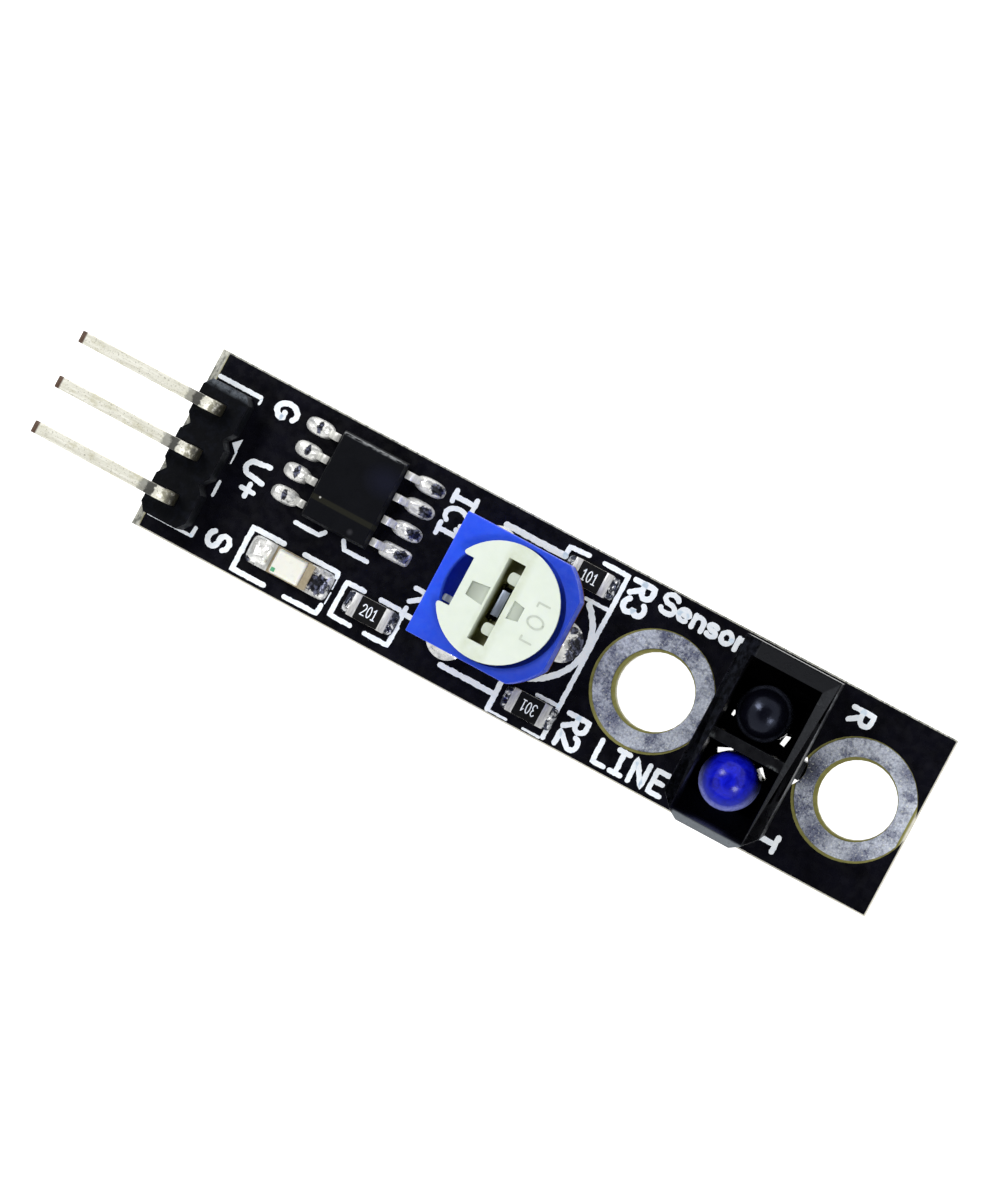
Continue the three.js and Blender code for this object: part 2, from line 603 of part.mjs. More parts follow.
// A rectangular well with a sloping rim, split by a divider wall, with a floor that the two
// diodes' leads pass through and gaps beside the diodes.
function housingGeometry() {
  const { width, rim, rimBack, rimFront, length, top, floorTop } = SENSOR;
  const wellWidth = width - 2 * rim;
  const wellFront = -length / 2 + rimFront;
  const wellBack = length / 2 - rimBack;
  const well = box(wellWidth, wellBack - wellFront, floorTop, top + 1, 0, (wellFront + wellBack) / 2);
  const leadHoles = diodeLeadPlaces().map(({ x, y }) => (
    box(DIODE_LEAD.clear, DIODE_LEAD.clear, -1, floorTop + 1, x - SENSOR.x, y - SENSOR.y)));
  const gaps = GAPS.map((gap) => (
    box(gap.length, gap.width, -1, floorTop + 1)
      .rotateZ(THREE.MathUtils.degToRad(gap.turn))
      .translate(gap.x - SENSOR.x, gap.y - SENSOR.y, 0)));
  const shell = cut(prism(housingShape(), SENSOR.bottom, top), well,
    rimSpace(wellWidth, wellFront, wellBack), chamferWedge(wellFront), ...leadHoles, ...gaps);
  const divider = box(wellWidth + 2 * SENSOR.dividerBite, SENSOR.divider,
    floorTop - SENSOR.dividerBite, SENSOR.dividerTop, 0, SENSOR.dividerY);
  const hooks = hookPlaces().map(hookGeometry);
  const diodeSpace = DIODE.rows.map((y, index) => (
    cylinder(DIODE.radii[index] + FIT, floorTop, top + 1, DIODE.x - SENSOR.x, y - SENSOR.y)));
  return join(shell, cut(divider, ...diodeSpace), ...hooks);
}

// A diode's epoxy body: a cylinder with a domed lens on top and a wider block at its foot.
function diodeGeometry(radius, outward) {
  const { base, shoulder, top } = DIODE;
  const steps = 7;
  const dome = [];
  for (let step = 0; step <= steps; step += 1) {
    const angle = (step / steps) * Math.PI / 2;
    dome.push([radius * Math.cos(angle), shoulder + (top - shoulder) * Math.sin(angle)]);
  }
  dome[steps][0] = 0;
  const lens = turnedSolid([[0, base], [radius, base], ...dome], ROUND - 8);
  const foot = box(DIODE.footWidth, DIODE.footLength, base, base + DIODE.footHeight, 0,
    outward * DIODE_LEAD.outward);
  return join(lens, foot);
}

const sensor = group(SENSOR.x, SENSOR.y);
addPart(sensor, 'sensor_housing', housingGeometry(), materials.blackNylon);

const [emitterRow, detectorRow] = DIODE.rows;
const [emitterRadius, detectorRadius] = DIODE.radii;
addPart(group(DIODE.x, emitterRow), 'sensor_emitter', diodeGeometry(emitterRadius, -1),
  materials.blueEpoxy);
addPart(group(DIODE.x, detectorRow), 'sensor_detector', diodeGeometry(detectorRadius, 1),
  materials.darkEpoxy);

const DIODE_LEAD_DIAGONAL = DIODE_LEAD.thickness * Math.SQRT1_2;
diodeLeadPlaces().forEach(({ x, y }, index) => {
  const number = index + 1;
  const holder = group(x, y);
  const lead = box(DIODE_LEAD.thickness, DIODE_LEAD.thickness, LOWEST + LEAD_END, DIODE.base - FIT);
  addPart(holder, `sensor_lead_${number}`, lead, materials.pinMetal);
  const cone = solderGeometry(DIODE_LEAD_DIAGONAL, SOLDER.diodeFoot, SOLDER.rise).rotateX(Math.PI);
  addPart(holder, `sensor_solder_${number}`, cone, materials.solder, [0, 0, UNDERSIDE - FIT]);
});

// ---- Finished module ----------------------------------------------------------------------------

const module = new THREE.Group();
design.position.set(-(PIN.tip + BOARD.right) / 2, 0, -LOWEST);
module.add(design);
module.updateMatrixWorld(true);

export default module;
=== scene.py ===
"""Looks for an infrared line-tracking sensor module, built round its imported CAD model.

The CAD nodes keep their places: most get soft edges and a material, some are replaced by finer
pieces. Solder mask, traces, silkscreen and the solder of the surface-mounted parts are added.
Lengths in this file are board millimetres unless a name says otherwise: x along the board from
the header to the sensor, y across it, z up from the component side of the laminate.
"""

import math
import random

import bmesh
import bpy
from mathutils import Matrix, Vector, noise

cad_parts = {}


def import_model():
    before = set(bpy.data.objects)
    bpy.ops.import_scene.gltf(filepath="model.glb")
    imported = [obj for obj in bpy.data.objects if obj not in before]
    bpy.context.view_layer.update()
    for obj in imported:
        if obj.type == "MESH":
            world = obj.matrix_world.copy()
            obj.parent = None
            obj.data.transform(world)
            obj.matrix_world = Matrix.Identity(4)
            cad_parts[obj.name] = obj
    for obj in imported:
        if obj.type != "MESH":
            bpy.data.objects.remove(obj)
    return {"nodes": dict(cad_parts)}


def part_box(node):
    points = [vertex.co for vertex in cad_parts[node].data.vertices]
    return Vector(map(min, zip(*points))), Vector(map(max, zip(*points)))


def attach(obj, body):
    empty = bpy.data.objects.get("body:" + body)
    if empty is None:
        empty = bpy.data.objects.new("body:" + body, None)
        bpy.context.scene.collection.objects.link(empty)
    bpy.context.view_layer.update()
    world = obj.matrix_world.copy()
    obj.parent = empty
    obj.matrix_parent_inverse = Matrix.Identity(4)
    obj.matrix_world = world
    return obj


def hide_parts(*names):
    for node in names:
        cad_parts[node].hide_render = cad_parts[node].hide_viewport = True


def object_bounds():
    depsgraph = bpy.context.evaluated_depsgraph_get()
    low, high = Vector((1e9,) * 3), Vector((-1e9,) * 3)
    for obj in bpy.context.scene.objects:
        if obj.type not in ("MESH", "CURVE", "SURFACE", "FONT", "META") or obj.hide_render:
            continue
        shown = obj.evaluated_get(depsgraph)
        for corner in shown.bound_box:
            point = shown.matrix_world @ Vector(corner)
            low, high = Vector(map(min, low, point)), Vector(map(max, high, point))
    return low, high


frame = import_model()
nodes = frame["nodes"]
cad_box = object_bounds()

MM = 0.001
BOARD, ROTOR = "board_assembly", "rotor"
BOARD_RIGHT = 20.88    # where the board ends, along x
board_low, board_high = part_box("circuit_board")
ORIGIN = Vector((board_high.x - BOARD_RIGHT * MM, 0, board_high.z))
BOARD_THICKNESS = (board_high.z - board_low.z) / MM
MASK = 0.03            # thickness of the solder mask
TOP = MASK + 0.002     # where what is printed or soldered on the mask starts
rng = random.Random(7)


def world(x, y, z=0.0):
    """The point in the row frame, in metres, of a place in board millimetres."""
    return ORIGIN + Vector((x, y, z)) * MM


def spot(node):
    """The centre, in board millimetres, of a CAD node's box."""
    low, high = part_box(node)
    return ((low + high) / 2 - ORIGIN) / MM


def extent(node):
    """The lowest and highest corner of a CAD node, in board millimetres."""
    low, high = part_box(node)
    return (low - ORIGIN) / MM, (high - ORIGIN) / MM


# Places for the materials, in millimetres of the row frame, as Finish.axis gives them.
TOP_OF_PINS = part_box("header_pin_1")[1].z / MM
AXIS_X = (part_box("trimmer_wiper")[0].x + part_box("trimmer_wiper")[1].x) / 2 / MM
DIODE_AXES = {"sensor_emitter": -2.06, "sensor_detector": 1.7}    # across the board


# ---- Materials ------------------------------------------------------------------------------------


class Finish:
    """A material under construction: a Principled shader and short calls for the nodes it shares."""

    def __init__(self, name, **values):
        self.material = bpy.data.materials.new(name)
        self.material.use_nodes = True
        self.tree = self.material.node_tree
        self.tree.nodes.clear()
        self.shader = self.node("ShaderNodeBsdfPrincipled", **values)
        output = self.node("ShaderNodeOutputMaterial")
        self.tree.links.new(self.shader.outputs[0], output.inputs["Surface"])
        coordinates = self.node("ShaderNodeTexCoord")
        scale = self.node("ShaderNodeMapping")
        scale.inputs["Scale"].default_value = (1 / MM,) * 3
        self.tree.links.new(coordinates.outputs["Object"], scale.inputs["Vector"])
        self.place = scale.outputs["Vector"]

    def node(self, kind, **values):
        made = self.tree.nodes.new(kind)
        for key, value in values.items():
            self.put(made.inputs[key.replace("_", " ")], value)
        return made

    def put(self, socket, value):
        if isinstance(value, bpy.types.NodeSocket):
            self.tree.links.new(value, socket)
        else:
            socket.default_value = value

    def set(self, name, value):
        self.put(self.shader.inputs[name], value)

    def stretch(self, x, y, z, turn=0.0):
        """The place, stretched along each axis, for textures that aren't the same every way."""
        mapping = self.node("ShaderNodeMapping", Vector=self.place)
        mapping.inputs["Scale"].default_value = (x, y, z)
        mapping.inputs["Rotation"].default_value = (0, 0, turn)
        return mapping.outputs["Vector"]

    def noise(self, size, detail=3.0, roughness=0.55, place=None, distortion=0.0):
        """Fractal noise whose largest features are about size millimetres."""
        made = self.node("ShaderNodeTexNoise", Vector=place or self.place, Scale=1 / size,
                         Detail=detail, Roughness=roughness, Distortion=distortion)
        return made.outputs["Fac"]

    def span(self, value, low, high, to_low=0.0, to_high=1.0):
        """value between low and high, spread from to_low to to_high and held at both ends."""
        made = self.node("ShaderNodeMapRange", Value=value)
        for name, number in (("From Min", low), ("From Max", high), ("To Min", to_low), ("To Max", to_high)):
            made.inputs[name].default_value = number
        return made.outputs["Result"]

    def mix(self, factor, first, second):
        made = self.tree.nodes.new("ShaderNodeMix")
        made.data_type = "RGBA"
        self.put(made.inputs["Factor"], factor)
        for name, value in (("A", first), ("B", second)):
            socket = next(s for s in made.inputs if s.name == name and s.type == "RGBA")
            self.put(socket, value if isinstance(value, bpy.types.NodeSocket) else (*value, 1))
        return next(s for s in made.outputs if s.type == "RGBA")

    def math(self, operation, first, second=0.0):
        made = self.tree.nodes.new("ShaderNodeMath")
        made.operation = operation
        self.put(made.inputs[0], first)
        self.put(made.inputs[1], second)
        return made.outputs[0]

    def times(self, first, *others):
        for other in others:
            first = self.math("MULTIPLY", first, other)
        return first

    def most(self, first, *others):
        """The largest of several values."""
        for other in others:
            first = self.math("MAXIMUM", first, other)
        return first

    def minus(self, first, second):
        return self.math("SUBTRACT", first, second)

    def plus(self, first, second):
        return self.math("ADD", first, second)

    def axis(self, name):
        return self.node("ShaderNodeSeparateXYZ", Vector=self.place).outputs[name]

    def patch(self, x, y, inner, outer, tall=1.0):
        """1 within inner of a place in board millimetres, fading to 0 at outer; tall stretches it along Y."""
        along = self.minus(self.axis("X"), x + ORIGIN.x / MM)
        across = self.math("DIVIDE", self.minus(self.axis("Y"), y), tall)
        square = self.plus(self.times(along, along), self.times(across, across))
        return self.span(self.math("SQRT", square), outer, inner)

    def sheen(self, size, low, high, detail=3):
        """A roughness that wanders from low to high over about size millimetres."""
        self.set("Roughness", self.span(self.noise(size, detail), 0.3, 0.7, low, high))

    def scatter(self, red, green, blue):
        """How far each colour of light travels under the surface, in millimetres."""
        self.shader.inputs["Subsurface Radius"].default_value = (red * MM, green * MM, blue * MM)

    def bump(self, height, depth, strength=1.0):
        """Relief depth millimetres deep where height goes from 0 to 1."""
        made = self.node("ShaderNodeBump", Height=height, Distance=depth * MM, Strength=strength)
        if self.shader.inputs["Normal"].is_linked:
            self.put(made.inputs["Normal"], self.shader.inputs["Normal"].links[0].from_socket)
        self.set("Normal", made.outputs["Normal"])


def rgb(red, green, blue):
    """A colour given as 0 to 255 screen values."""
    return tuple((c / 255 / 12.92) if c <= 10 else ((c / 255 + 0.055) / 1.055) ** 2.4
                 for c in (red, green, blue))


def solder_mask():
    """Black solder mask: mottled blue-black, with a faint weave, under a thin gloss."""
    f = Finish("solder_mask", IOR=1.45, Specular_IOR_Level=0.3)
    cloud = f.noise(1.4, 5, 0.6)
    blots = f.noise(0.28, 3, 0.6)
    dark = f.mix(blots, rgb(2, 2, 4), rgb(10, 10, 17))
    f.set("Base Color", f.mix(f.span(cloud, 0.35, 0.68), dark, rgb(14, 14, 24)))
    f.sheen(0.5, 0.2, 0.34, 4)
    weave = f.times(f.noise(0.4, 1, place=f.stretch(0.35, 1, 1)),
                    f.noise(0.4, 1, place=f.stretch(1, 0.35, 1)))
    f.bump(weave, 0.004)
    f.bump(f.noise(0.09, 2), 0.001)
    return f.material


def laminate():
    """Bare glass-epoxy: cream at the board's cut edge, olive in the holes and mask openings, with painted
    shade on the +y and left cut edges and painted light from below paling the hole walls towards the under
    side.
    """
    f = Finish("laminate", Subsurface_Weight=0.1)
    f.scatter(1, 1, 0.6)
    across = f.math("ABSOLUTE", f.axis("Y"))
    along = f.axis("X")
    left = board_low.x / MM + 0.42
    right = board_high.x / MM - 0.2
    rim = f.most(f.span(across, 4.7, 4.85), f.span(along, left, left - 0.1),
                 f.span(along, right, right + 0.08))
    fibres = f.noise(0.25, 4, place=f.stretch(1, 1, 5))
    cream = f.mix(fibres, rgb(206, 202, 184), rgb(242, 240, 229))
    # Painted shade: the +y and left cut edges are a darker copy of the cream, with dark slivers over them.
    dark_slivers = f.span(f.noise(0.35, 5, 0.75, place=f.stretch(1.6, 0.5, 1)), 0.46, 0.6)
    shaded = f.mix(dark_slivers, f.mix(fibres, rgb(170, 170, 158), rgb(232, 231, 222)), rgb(118, 120, 112))
    far = f.most(f.span(f.axis("Y"), 4.7, 4.85), f.span(along, left, left - 0.1))
    cream = f.mix(far, cream, shaded)
    olive = f.mix(fibres, rgb(112, 108, 46), rgb(170, 166, 92))
    # Painted light from below: the hole walls turn paler towards the under side.
    deep = f.span(f.axis("Z"), board_high.z / MM - 0.5, board_low.z / MM + 0.3)
    olive = f.mix(deep, olive, f.mix(fibres, rgb(196, 192, 160), rgb(232, 230, 212)))
    f.set("Base Color", f.mix(rim, olive, cream))
    f.set("Roughness", 0.55)
    f.bump(fibres, 0.02)
    return f.material


def ring_tin():
    """Levelled tin on the big rings: bluish grey, mottled, with dull bluish patches and pale specks, and
    painted shade on the rings' left sides, darkest where the sensor housing's shadow falls on the far ring.
    """
    f = Finish("ring_tin", Metallic=0.8)
    patches = f.span(f.noise(1.1, 5, 0.75), 0.45, 0.6)
    # Places (x, y, reach): those at x 15.3 and 5.0 are painted shade on the rings' left sides, the rest dull
    # patches of the tin.
    dull_patches_and_shade = ((15.3, 0.2, 1.7), (19.5, 2.5, 0.9), (16.6, -2.4, 1.2), (19.2, -2.7, 0.9), (5.0, -2.2, 1.0))
    for x, y, reach in dull_patches_and_shade:
        patches = f.most(patches, f.patch(x, y, 0.2, reach))
    speckle = f.span(f.noise(0.15, 4, 0.8), 0.36, 0.64)
    sparks = f.span(f.noise(0.12, 2, 0.6), 0.6, 0.68)
    bright = f.mix(speckle, rgb(170, 178, 196), rgb(226, 231, 240))
    dull = f.mix(speckle, rgb(66, 70, 98), rgb(146, 152, 174))
    tin_and_shade = f.mix(patches, bright, dull)
    # Painted shadow of the sensor housing over the far ring's left edge.
    tin_and_shade = f.mix(f.times(f.patch(14.7, 0.2, 0.2, 1.1), 0.85), tin_and_shade, rgb(30, 32, 42))
    f.set("Base Color", f.mix(f.times(sparks, 0.6), tin_and_shade, rgb(236, 238, 226)))
    f.set("Roughness", f.span(speckle, 0, 1, 0.52, 0.36))
    scratches = f.noise(0.08, 2, place=f.stretch(1, 0.06, 1, 0.9))
    f.bump(f.span(scratches, 0.35, 0.5), 0.006)
    f.bump(speckle, 0.014)
    return f.material


def cap_tin():
    """Plated ends of the chips: pale, streaked across the board."""
    f = Finish("cap_tin", Metallic=0.45)
    streaks = f.noise(0.1, 3, 0.7, place=f.stretch(1, 0.2, 1))
    f.set("Base Color", f.mix(f.span(streaks, 0.3, 0.65), rgb(186, 186, 184), rgb(236, 236, 234)))
    f.set("Roughness", f.span(streaks, 0.2, 0.8, 0.5, 0.35))
    f.bump(streaks, 0.008)
    return f.material


def solder(name="solder", dark_reflections=()):
    """Solder painted near white for the bright light it reflects, with dark patches painted for the dark
    overhead it reflects; each place of the second argument is (x, y, reach, tall) of one such painted dark
    reflection.
    """
    f = Finish(name, Metallic=0.4)
    film = f.noise(0.55, 4, 0.6)
    bright_reflection = f.mix(f.span(film, 0.46, 0.68), rgb(254, 254, 250), rgb(196, 198, 198))
    ripple = f.noise(0.34, 5, 0.7, distortion=1.2)
    dark_reflection_mask = f.span(ripple, 0.6, 0.65, 0.0, 0.7)
    for x, y, reach, tall in dark_reflections:
        dark_spot = f.plus(f.patch(x, y, 0.0, reach * 2, tall), f.span(ripple, 0.3, 0.7, -0.22, 0.22))
        dark_reflection_mask = f.most(dark_reflection_mask, f.span(dark_spot, 0.46, 0.56))
    dark_reflection_tone = f.mix(f.span(f.noise(0.22, 3), 0.48, 0.64), rgb(18, 20, 30), rgb(112, 116, 140))
    f.set("Base Color", f.mix(dark_reflection_mask, bright_reflection, dark_reflection_tone))
    f.sheen(0.3, 0.16, 0.32, 4)
    f.bump(f.noise(0.4, 3), 0.05)
    f.bump(f.noise(0.06, 2), 0.004)
    return f.material


def dull_solder():
    """Solder painted dark grey for the dark overhead it reflects, with bright streaks of painted highlight.
    """
    f = Finish("dull_solder", Metallic=0.8)
    highlight_runs = f.span(f.noise(0.42, 4, 0.6, distortion=0.8), 0.5, 0.58)
    f.set("Base Color", f.mix(highlight_runs, rgb(58, 62, 76), rgb(226, 228, 230)))
    f.set("Roughness", f.span(highlight_runs, 0, 1, 0.2, 0.34))
    f.bump(f.noise(0.4, 3), 0.05)
    return f.material


def lead_tin():
    """Plated leads of the comparator: near white, brushed across."""
    f = Finish("lead_tin", Metallic=0.35)
    streaks = f.noise(0.12, 4, 0.7, place=f.stretch(1, 0.15, 1))
    f.set("Base Color", f.mix(f.span(streaks, 0.3, 0.7), rgb(214, 214, 208), rgb(254, 254, 249)))
    f.set("Roughness", f.span(streaks, 0.2, 0.8, 0.26, 0.42))
    f.bump(streaks, 0.01)
    return f.material


def drawn_metal():
    """Square pin stock: draw lines along X, specks, a bare coppery cut at the far end, and painted shade on
    the bends and across the pin tops near the housing.
    """
    f = Finish("drawn_metal", Metallic=0.3)
    streaks = f.noise(0.14, 4, 0.7, place=f.stretch(0.07, 1, 1))
    specks = f.span(f.noise(0.11, 4, 0.75), 0.57, 0.64)
    blots = f.span(f.noise(0.7, 5, 0.75, place=f.stretch(0.6, 1, 1)), 0.52, 0.64)
    tin = f.mix(f.span(streaks, 0.3, 0.7), rgb(222, 220, 202), rgb(255, 254, 244))
    tin = f.mix(f.times(specks, 0.7), tin, rgb(132, 126, 100))
    tin = f.mix(f.times(blots, 0.4), tin, rgb(184, 178, 130))
    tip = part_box("header_pin_1")[0].x / MM
    x = f.axis("X")
    cut = f.span(x, tip + 0.32, tip + 0.24)
    marks = f.noise(0.3, 4, 0.65)
    bend = f.plus(f.minus(x, tip), f.span(marks, 0.3, 0.7, -0.12, 0.12))
    # Painted shade: a band across the pin tops near the housing, grey at first and then dark.
    housing_shade = f.times(f.span(bend, 6.05, 6.2), f.span(bend, 6.98, 6.9))
    painted_shade = f.times(f.span(bend, 6.42, 6.56), f.span(bend, 6.98, 6.9))
    raised = f.span(f.axis("Z"), TOP_OF_PINS - 2.1, TOP_OF_PINS - 1.9)
    turn = f.times(f.span(bend, 9.0, 8.8), raised)
    mottling = f.times(turn, f.span(bend, 7.3, 7.45), f.span(marks, 0.36, 0.52))
    above = f.span(f.axis("Z"), TOP_OF_PINS - 0.16, TOP_OF_PINS - 0.06)
    tin = f.mix(f.times(housing_shade, above, 0.75), tin, rgb(126, 126, 120))
    tin = f.mix(f.times(painted_shade, above, 0.85), tin, rgb(44, 44, 42))
    tin = f.mix(f.times(mottling, 0.8), tin, rgb(104, 100, 68))
    # Painted shade: the bends are painted dark where they turn down.
    tin = f.mix(f.times(turn, f.span(bend, 7.55, 7.85)), tin, rgb(40, 38, 26))
    f.set("Base Color", f.mix(cut, tin, f.mix(f.noise(0.12, 3), rgb(58, 42, 34), rgb(110, 84, 66))))
    f.set("Roughness", f.span(streaks, 0.2, 0.8, 0.28, 0.45))
    f.bump(streaks, 0.012)
    f.bump(specks, 0.01, 0.6)
    return f.material


def black_plastic(name, tone, roughness, grain, depth, gloss):
    """Black moulding: slightly uneven tone, fine grain and a satin sheen."""
    f = Finish(name, IOR=1.5, Specular_IOR_Level=gloss)
    lighter = tuple(c * 1.9 + 0.0012 for c in tone)
    f.set("Base Color", f.mix(f.noise(0.9, 4), tone, lighter))
    f.sheen(0.4, roughness - 0.06, roughness + 0.08)
    f.bump(f.noise(grain, 3, 0.6), depth)
    f.bump(f.noise(0.9, 2), depth * 1.2)
    return f


def header_nylon():
    """The header's block: hazy, with a pale painted highlight along its edge nearest the corner letter."""
    f = black_plastic("header_nylon", rgb(4, 5, 8), 0.46, 0.12, 0.014, 0.07)
    haze = f.span(f.noise(0.5, 5, 0.7), 0.48, 0.78)
    colour = f.shader.inputs["Base Color"].links[0].from_socket
    hazy = f.mix(f.times(haze, 0.6), colour, rgb(24, 27, 38))
    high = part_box("header_housing")[1] / MM
    upper = f.span(f.axis("Z"), high.z - 0.5, high.z - 0.2)
    # Painted highlight: the top of the +y edge, pale where that side catches the light.
    lit_edge = f.times(f.span(f.axis("Y"), high.y - 0.42, high.y - 0.16), upper,
                    f.span(f.noise(0.3, 5, 0.75), 0.34, 0.6))
    f.set("Base Color", f.mix(lit_edge, hazy, rgb(96, 102, 110)))
    return f.material


def sensor_nylon():
    """The sensor's housing: a pale painted highlight along its front chamfer, and pale where tools touched
    the divider.
    """
    f = black_plastic("sensor_nylon", rgb(9, 9, 12), 0.3, 0.1, 0.012, 0.32)
    low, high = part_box("sensor_housing")
    # Painted highlight: the front chamfer is painted a mottled pale grey where it catches the light.
    lit_chamfer = f.span(f.axis("Y"), low.y / MM + 0.46, low.y / MM + 0.34)
    lit_chamfer = f.times(lit_chamfer, f.span(f.axis("Z"), high.z / MM - 0.62, high.z / MM - 0.45))
    mottling = f.mix(f.noise(0.2, 4), rgb(70, 76, 82), rgb(100, 107, 113))
    colour = f.mix(lit_chamfer, f.shader.inputs["Base Color"].links[0].from_socket, mottling)
    scrape = f.span(f.noise(0.16, 5, 0.75), 0.44, 0.58)
    rubbed = f.most(f.patch(13.45, -0.5, 0.12, 0.4, 0.45), f.patch(10.0, -0.4, 0.05, 0.28, 0.8),
                    f.patch(12.6, 3.4, 0.3, 1.6, 0.08))
    colour = f.mix(f.times(rubbed, scrape), colour, rgb(96, 100, 102))
    left = f.times(f.span(f.axis("X"), ORIGIN.x / MM + 10.15, ORIGIN.x / MM + 10.05),
                   f.span(f.axis("Z"), high.z / MM - 1.0, high.z / MM - 0.7))
    moulding = f.noise(0.3, 5, 0.8, place=f.stretch(1, 0.7, 1))
    shade = f.mix(f.span(moulding, 0.44, 0.62), rgb(1, 1, 3), rgb(26, 28, 36))
    f.set("Base Color", f.mix(left, colour, shade))
    f.set("Specular IOR Level", f.span(left, 0, 1, 0.27, 0.04))
    f.set("Specular Tint", (0.86, 0.92, 1.0, 1.0))
    f.bump(f.times(left, moulding), 0.05)
    return f.material


def moulded_epoxy():
    """The comparator's body: a faint olive band, a broken pale painted highlight along its +y top edge, and
    an ejector mark with specks.
    """
    f = black_plastic("moulded_epoxy", rgb(7, 8, 12), 0.5, 0.06, 0.012, 0.06)
    low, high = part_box("comparator_body")
    y = f.minus(f.axis("Y"), (low.y + high.y) / 2 / MM)
    band = f.times(f.span(y, -1.42, -1.36), f.span(y, -1.08, -1.14))
    colour = f.shader.inputs["Base Color"].links[0].from_socket
    colour = f.mix(f.times(f.patch(-10.6, 2.9, 0.3, 1.3, 0.8), 0.5), colour, rgb(26, 28, 46))
    colour = f.mix(f.times(band, 0.8), colour, rgb(38, 38, 30))
    colour = f.mix(f.times(f.patch(-11.0, -0.15, 0.04, 0.2), 0.6), colour, rgb(64, 64, 68))
    colour = f.mix(f.patch(-13.15, 0.7, 0.03, 0.07), colour, rgb(190, 190, 186))
    # Painted highlight: a broken pale line along the +y edge of the top, where the bevel catches the light.
    broken_highlight = f.span(f.noise(0.2, 5, 0.75, place=f.stretch(0.5, 1, 1)), 0.42, 0.56)
    edge = f.times(f.span(f.axis("Y"), high.y / MM - 0.26, high.y / MM - 0.14), broken_highlight,
                   f.span(f.axis("Z"), high.z / MM - 0.4, high.z / MM - 0.25))
    f.set("Base Color", f.mix(f.times(edge, 0.9), colour, rgb(150, 153, 156)))
    return f.material


def silkscreen():
    # White ink with a faint emission: a painted glow that keeps it bright beside tall parts.
    f = Finish("silkscreen", Roughness=0.62, Emission_Color=(0.9, 0.96, 1.0, 1.0), Emission_Strength=0.13)
    chalky = f.span(f.noise(0.16, 4, 0.7), 0.35, 0.6)
    f.set("Base Color", f.mix(chalky, rgb(228, 236, 246), rgb(248, 252, 255)))
    f.bump(f.noise(0.07, 3, 0.7), 0.006)
    return f.material


def chip_glaze():
    f = Finish("chip_glaze", IOR=1.5, Specular_IOR_Level=0.22)
    f.set("Base Color", f.mix(f.noise(0.3, 3), rgb(3, 3, 4), rgb(14, 14, 16)))
    f.sheen(0.2, 0.35, 0.5)
    f.bump(f.noise(0.15, 3), 0.006)
    return f.material


def alumina():
    f = Finish("alumina", Roughness=0.6)
    f.set("Base Color", f.mix(f.noise(0.12, 3), rgb(168, 166, 158), rgb(206, 204, 196)))
    f.bump(f.noise(0.05, 2), 0.004)
    return f.material


def cream_epoxy():
    f = Finish("cream_epoxy", IOR=1.5, Subsurface_Weight=0.5, Coat_Weight=0.3)
    f.scatter(0.6, 0.5, 0.3)
    f.set("Base Color", f.mix(f.noise(0.6, 3), rgb(240, 240, 226), rgb(255, 255, 246)))
    f.sheen(0.3, 0.25, 0.4)
    f.bump(f.noise(0.2, 2), 0.008)
    return f.material


def phenolic():
    f = Finish("phenolic")
    f.set("Base Color", f.mix(f.noise(0.5, 4, place=f.stretch(1, 1, 6)), rgb(70, 40, 24), rgb(112, 70, 42)))
    f.sheen(0.2, 0.5, 0.7)
    f.bump(f.noise(0.12, 3, place=f.stretch(1, 1, 5)), 0.012)
    return f.material


def blue_plastic():
    f = Finish("blue_plastic", IOR=1.5, Subsurface_Weight=0.15)
    f.scatter(0.05, 0.1, 0.6)
    # Painted light and shade: the blue is lighter towards the left and the +y side, darker towards the right
    # and the -y side.
    near = f.mix(f.noise(1.4, 4), rgb(20, 62, 226), rgb(40, 98, 255))
    far = f.mix(f.noise(1.4, 4), rgb(12, 46, 180), rgb(30, 78, 214))
    along = f.minus(f.minus(f.axis("X"), AXIS_X), f.times(f.axis("Y"), 0.5))
    f.set("Base Color", f.mix(f.span(along, -3.5, 1.5), near, far))
    f.sheen(0.3, 0.34, 0.5)
    f.bump(f.noise(0.12, 3), 0.006)
    f.bump(f.noise(1.2, 2), 0.03)
    return f.material


def ivory_plastic():
    """The rotor: clean ivory on top, with painted shade: grey in its pointer pockets, olive down in its slot
    and notch.
    """
    f = Finish("ivory_plastic", IOR=1.5, Subsurface_Weight=0.3)
    f.scatter(0.5, 0.5, 0.3)
    low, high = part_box("trimmer_rotor")
    z = f.axis("Z")
    # Painted shade: the plastic darkens to olive down the slot and notch.
    depth = f.span(z, high.z / MM - 0.22, high.z / MM - 0.9)
    # Painted shade: grey in the pointer pockets, greyer away from the slot.
    painted_shade = f.span(z, high.z / MM - 0.09, high.z / MM - 0.13)
    aside = f.math("ABSOLUTE", f.minus(f.axis("X"), AXIS_X))
    painted_shade = f.times(painted_shade, f.span(aside, 0.6, 1.5, 0.45, 1.0))
    clean = f.mix(f.noise(1.0, 4), rgb(222, 232, 219), rgb(236, 244, 234))
    near_slot = f.times(f.span(aside, 0.85, 0.5), f.span(f.noise(0.8, 3), 0.3, 0.65))
    clean = f.mix(f.times(near_slot, 0.5), clean, rgb(196, 204, 172))
    shaded = f.mix(painted_shade, clean, rgb(168, 176, 164))
    f.set("Base Color", f.mix(depth, shaded, rgb(92, 92, 38)))
    f.sheen(0.3, 0.36, 0.5)
    f.bump(f.noise(0.1, 3), 0.004)
    f.bump(f.noise(1.1, 2), 0.025)
    return f.material


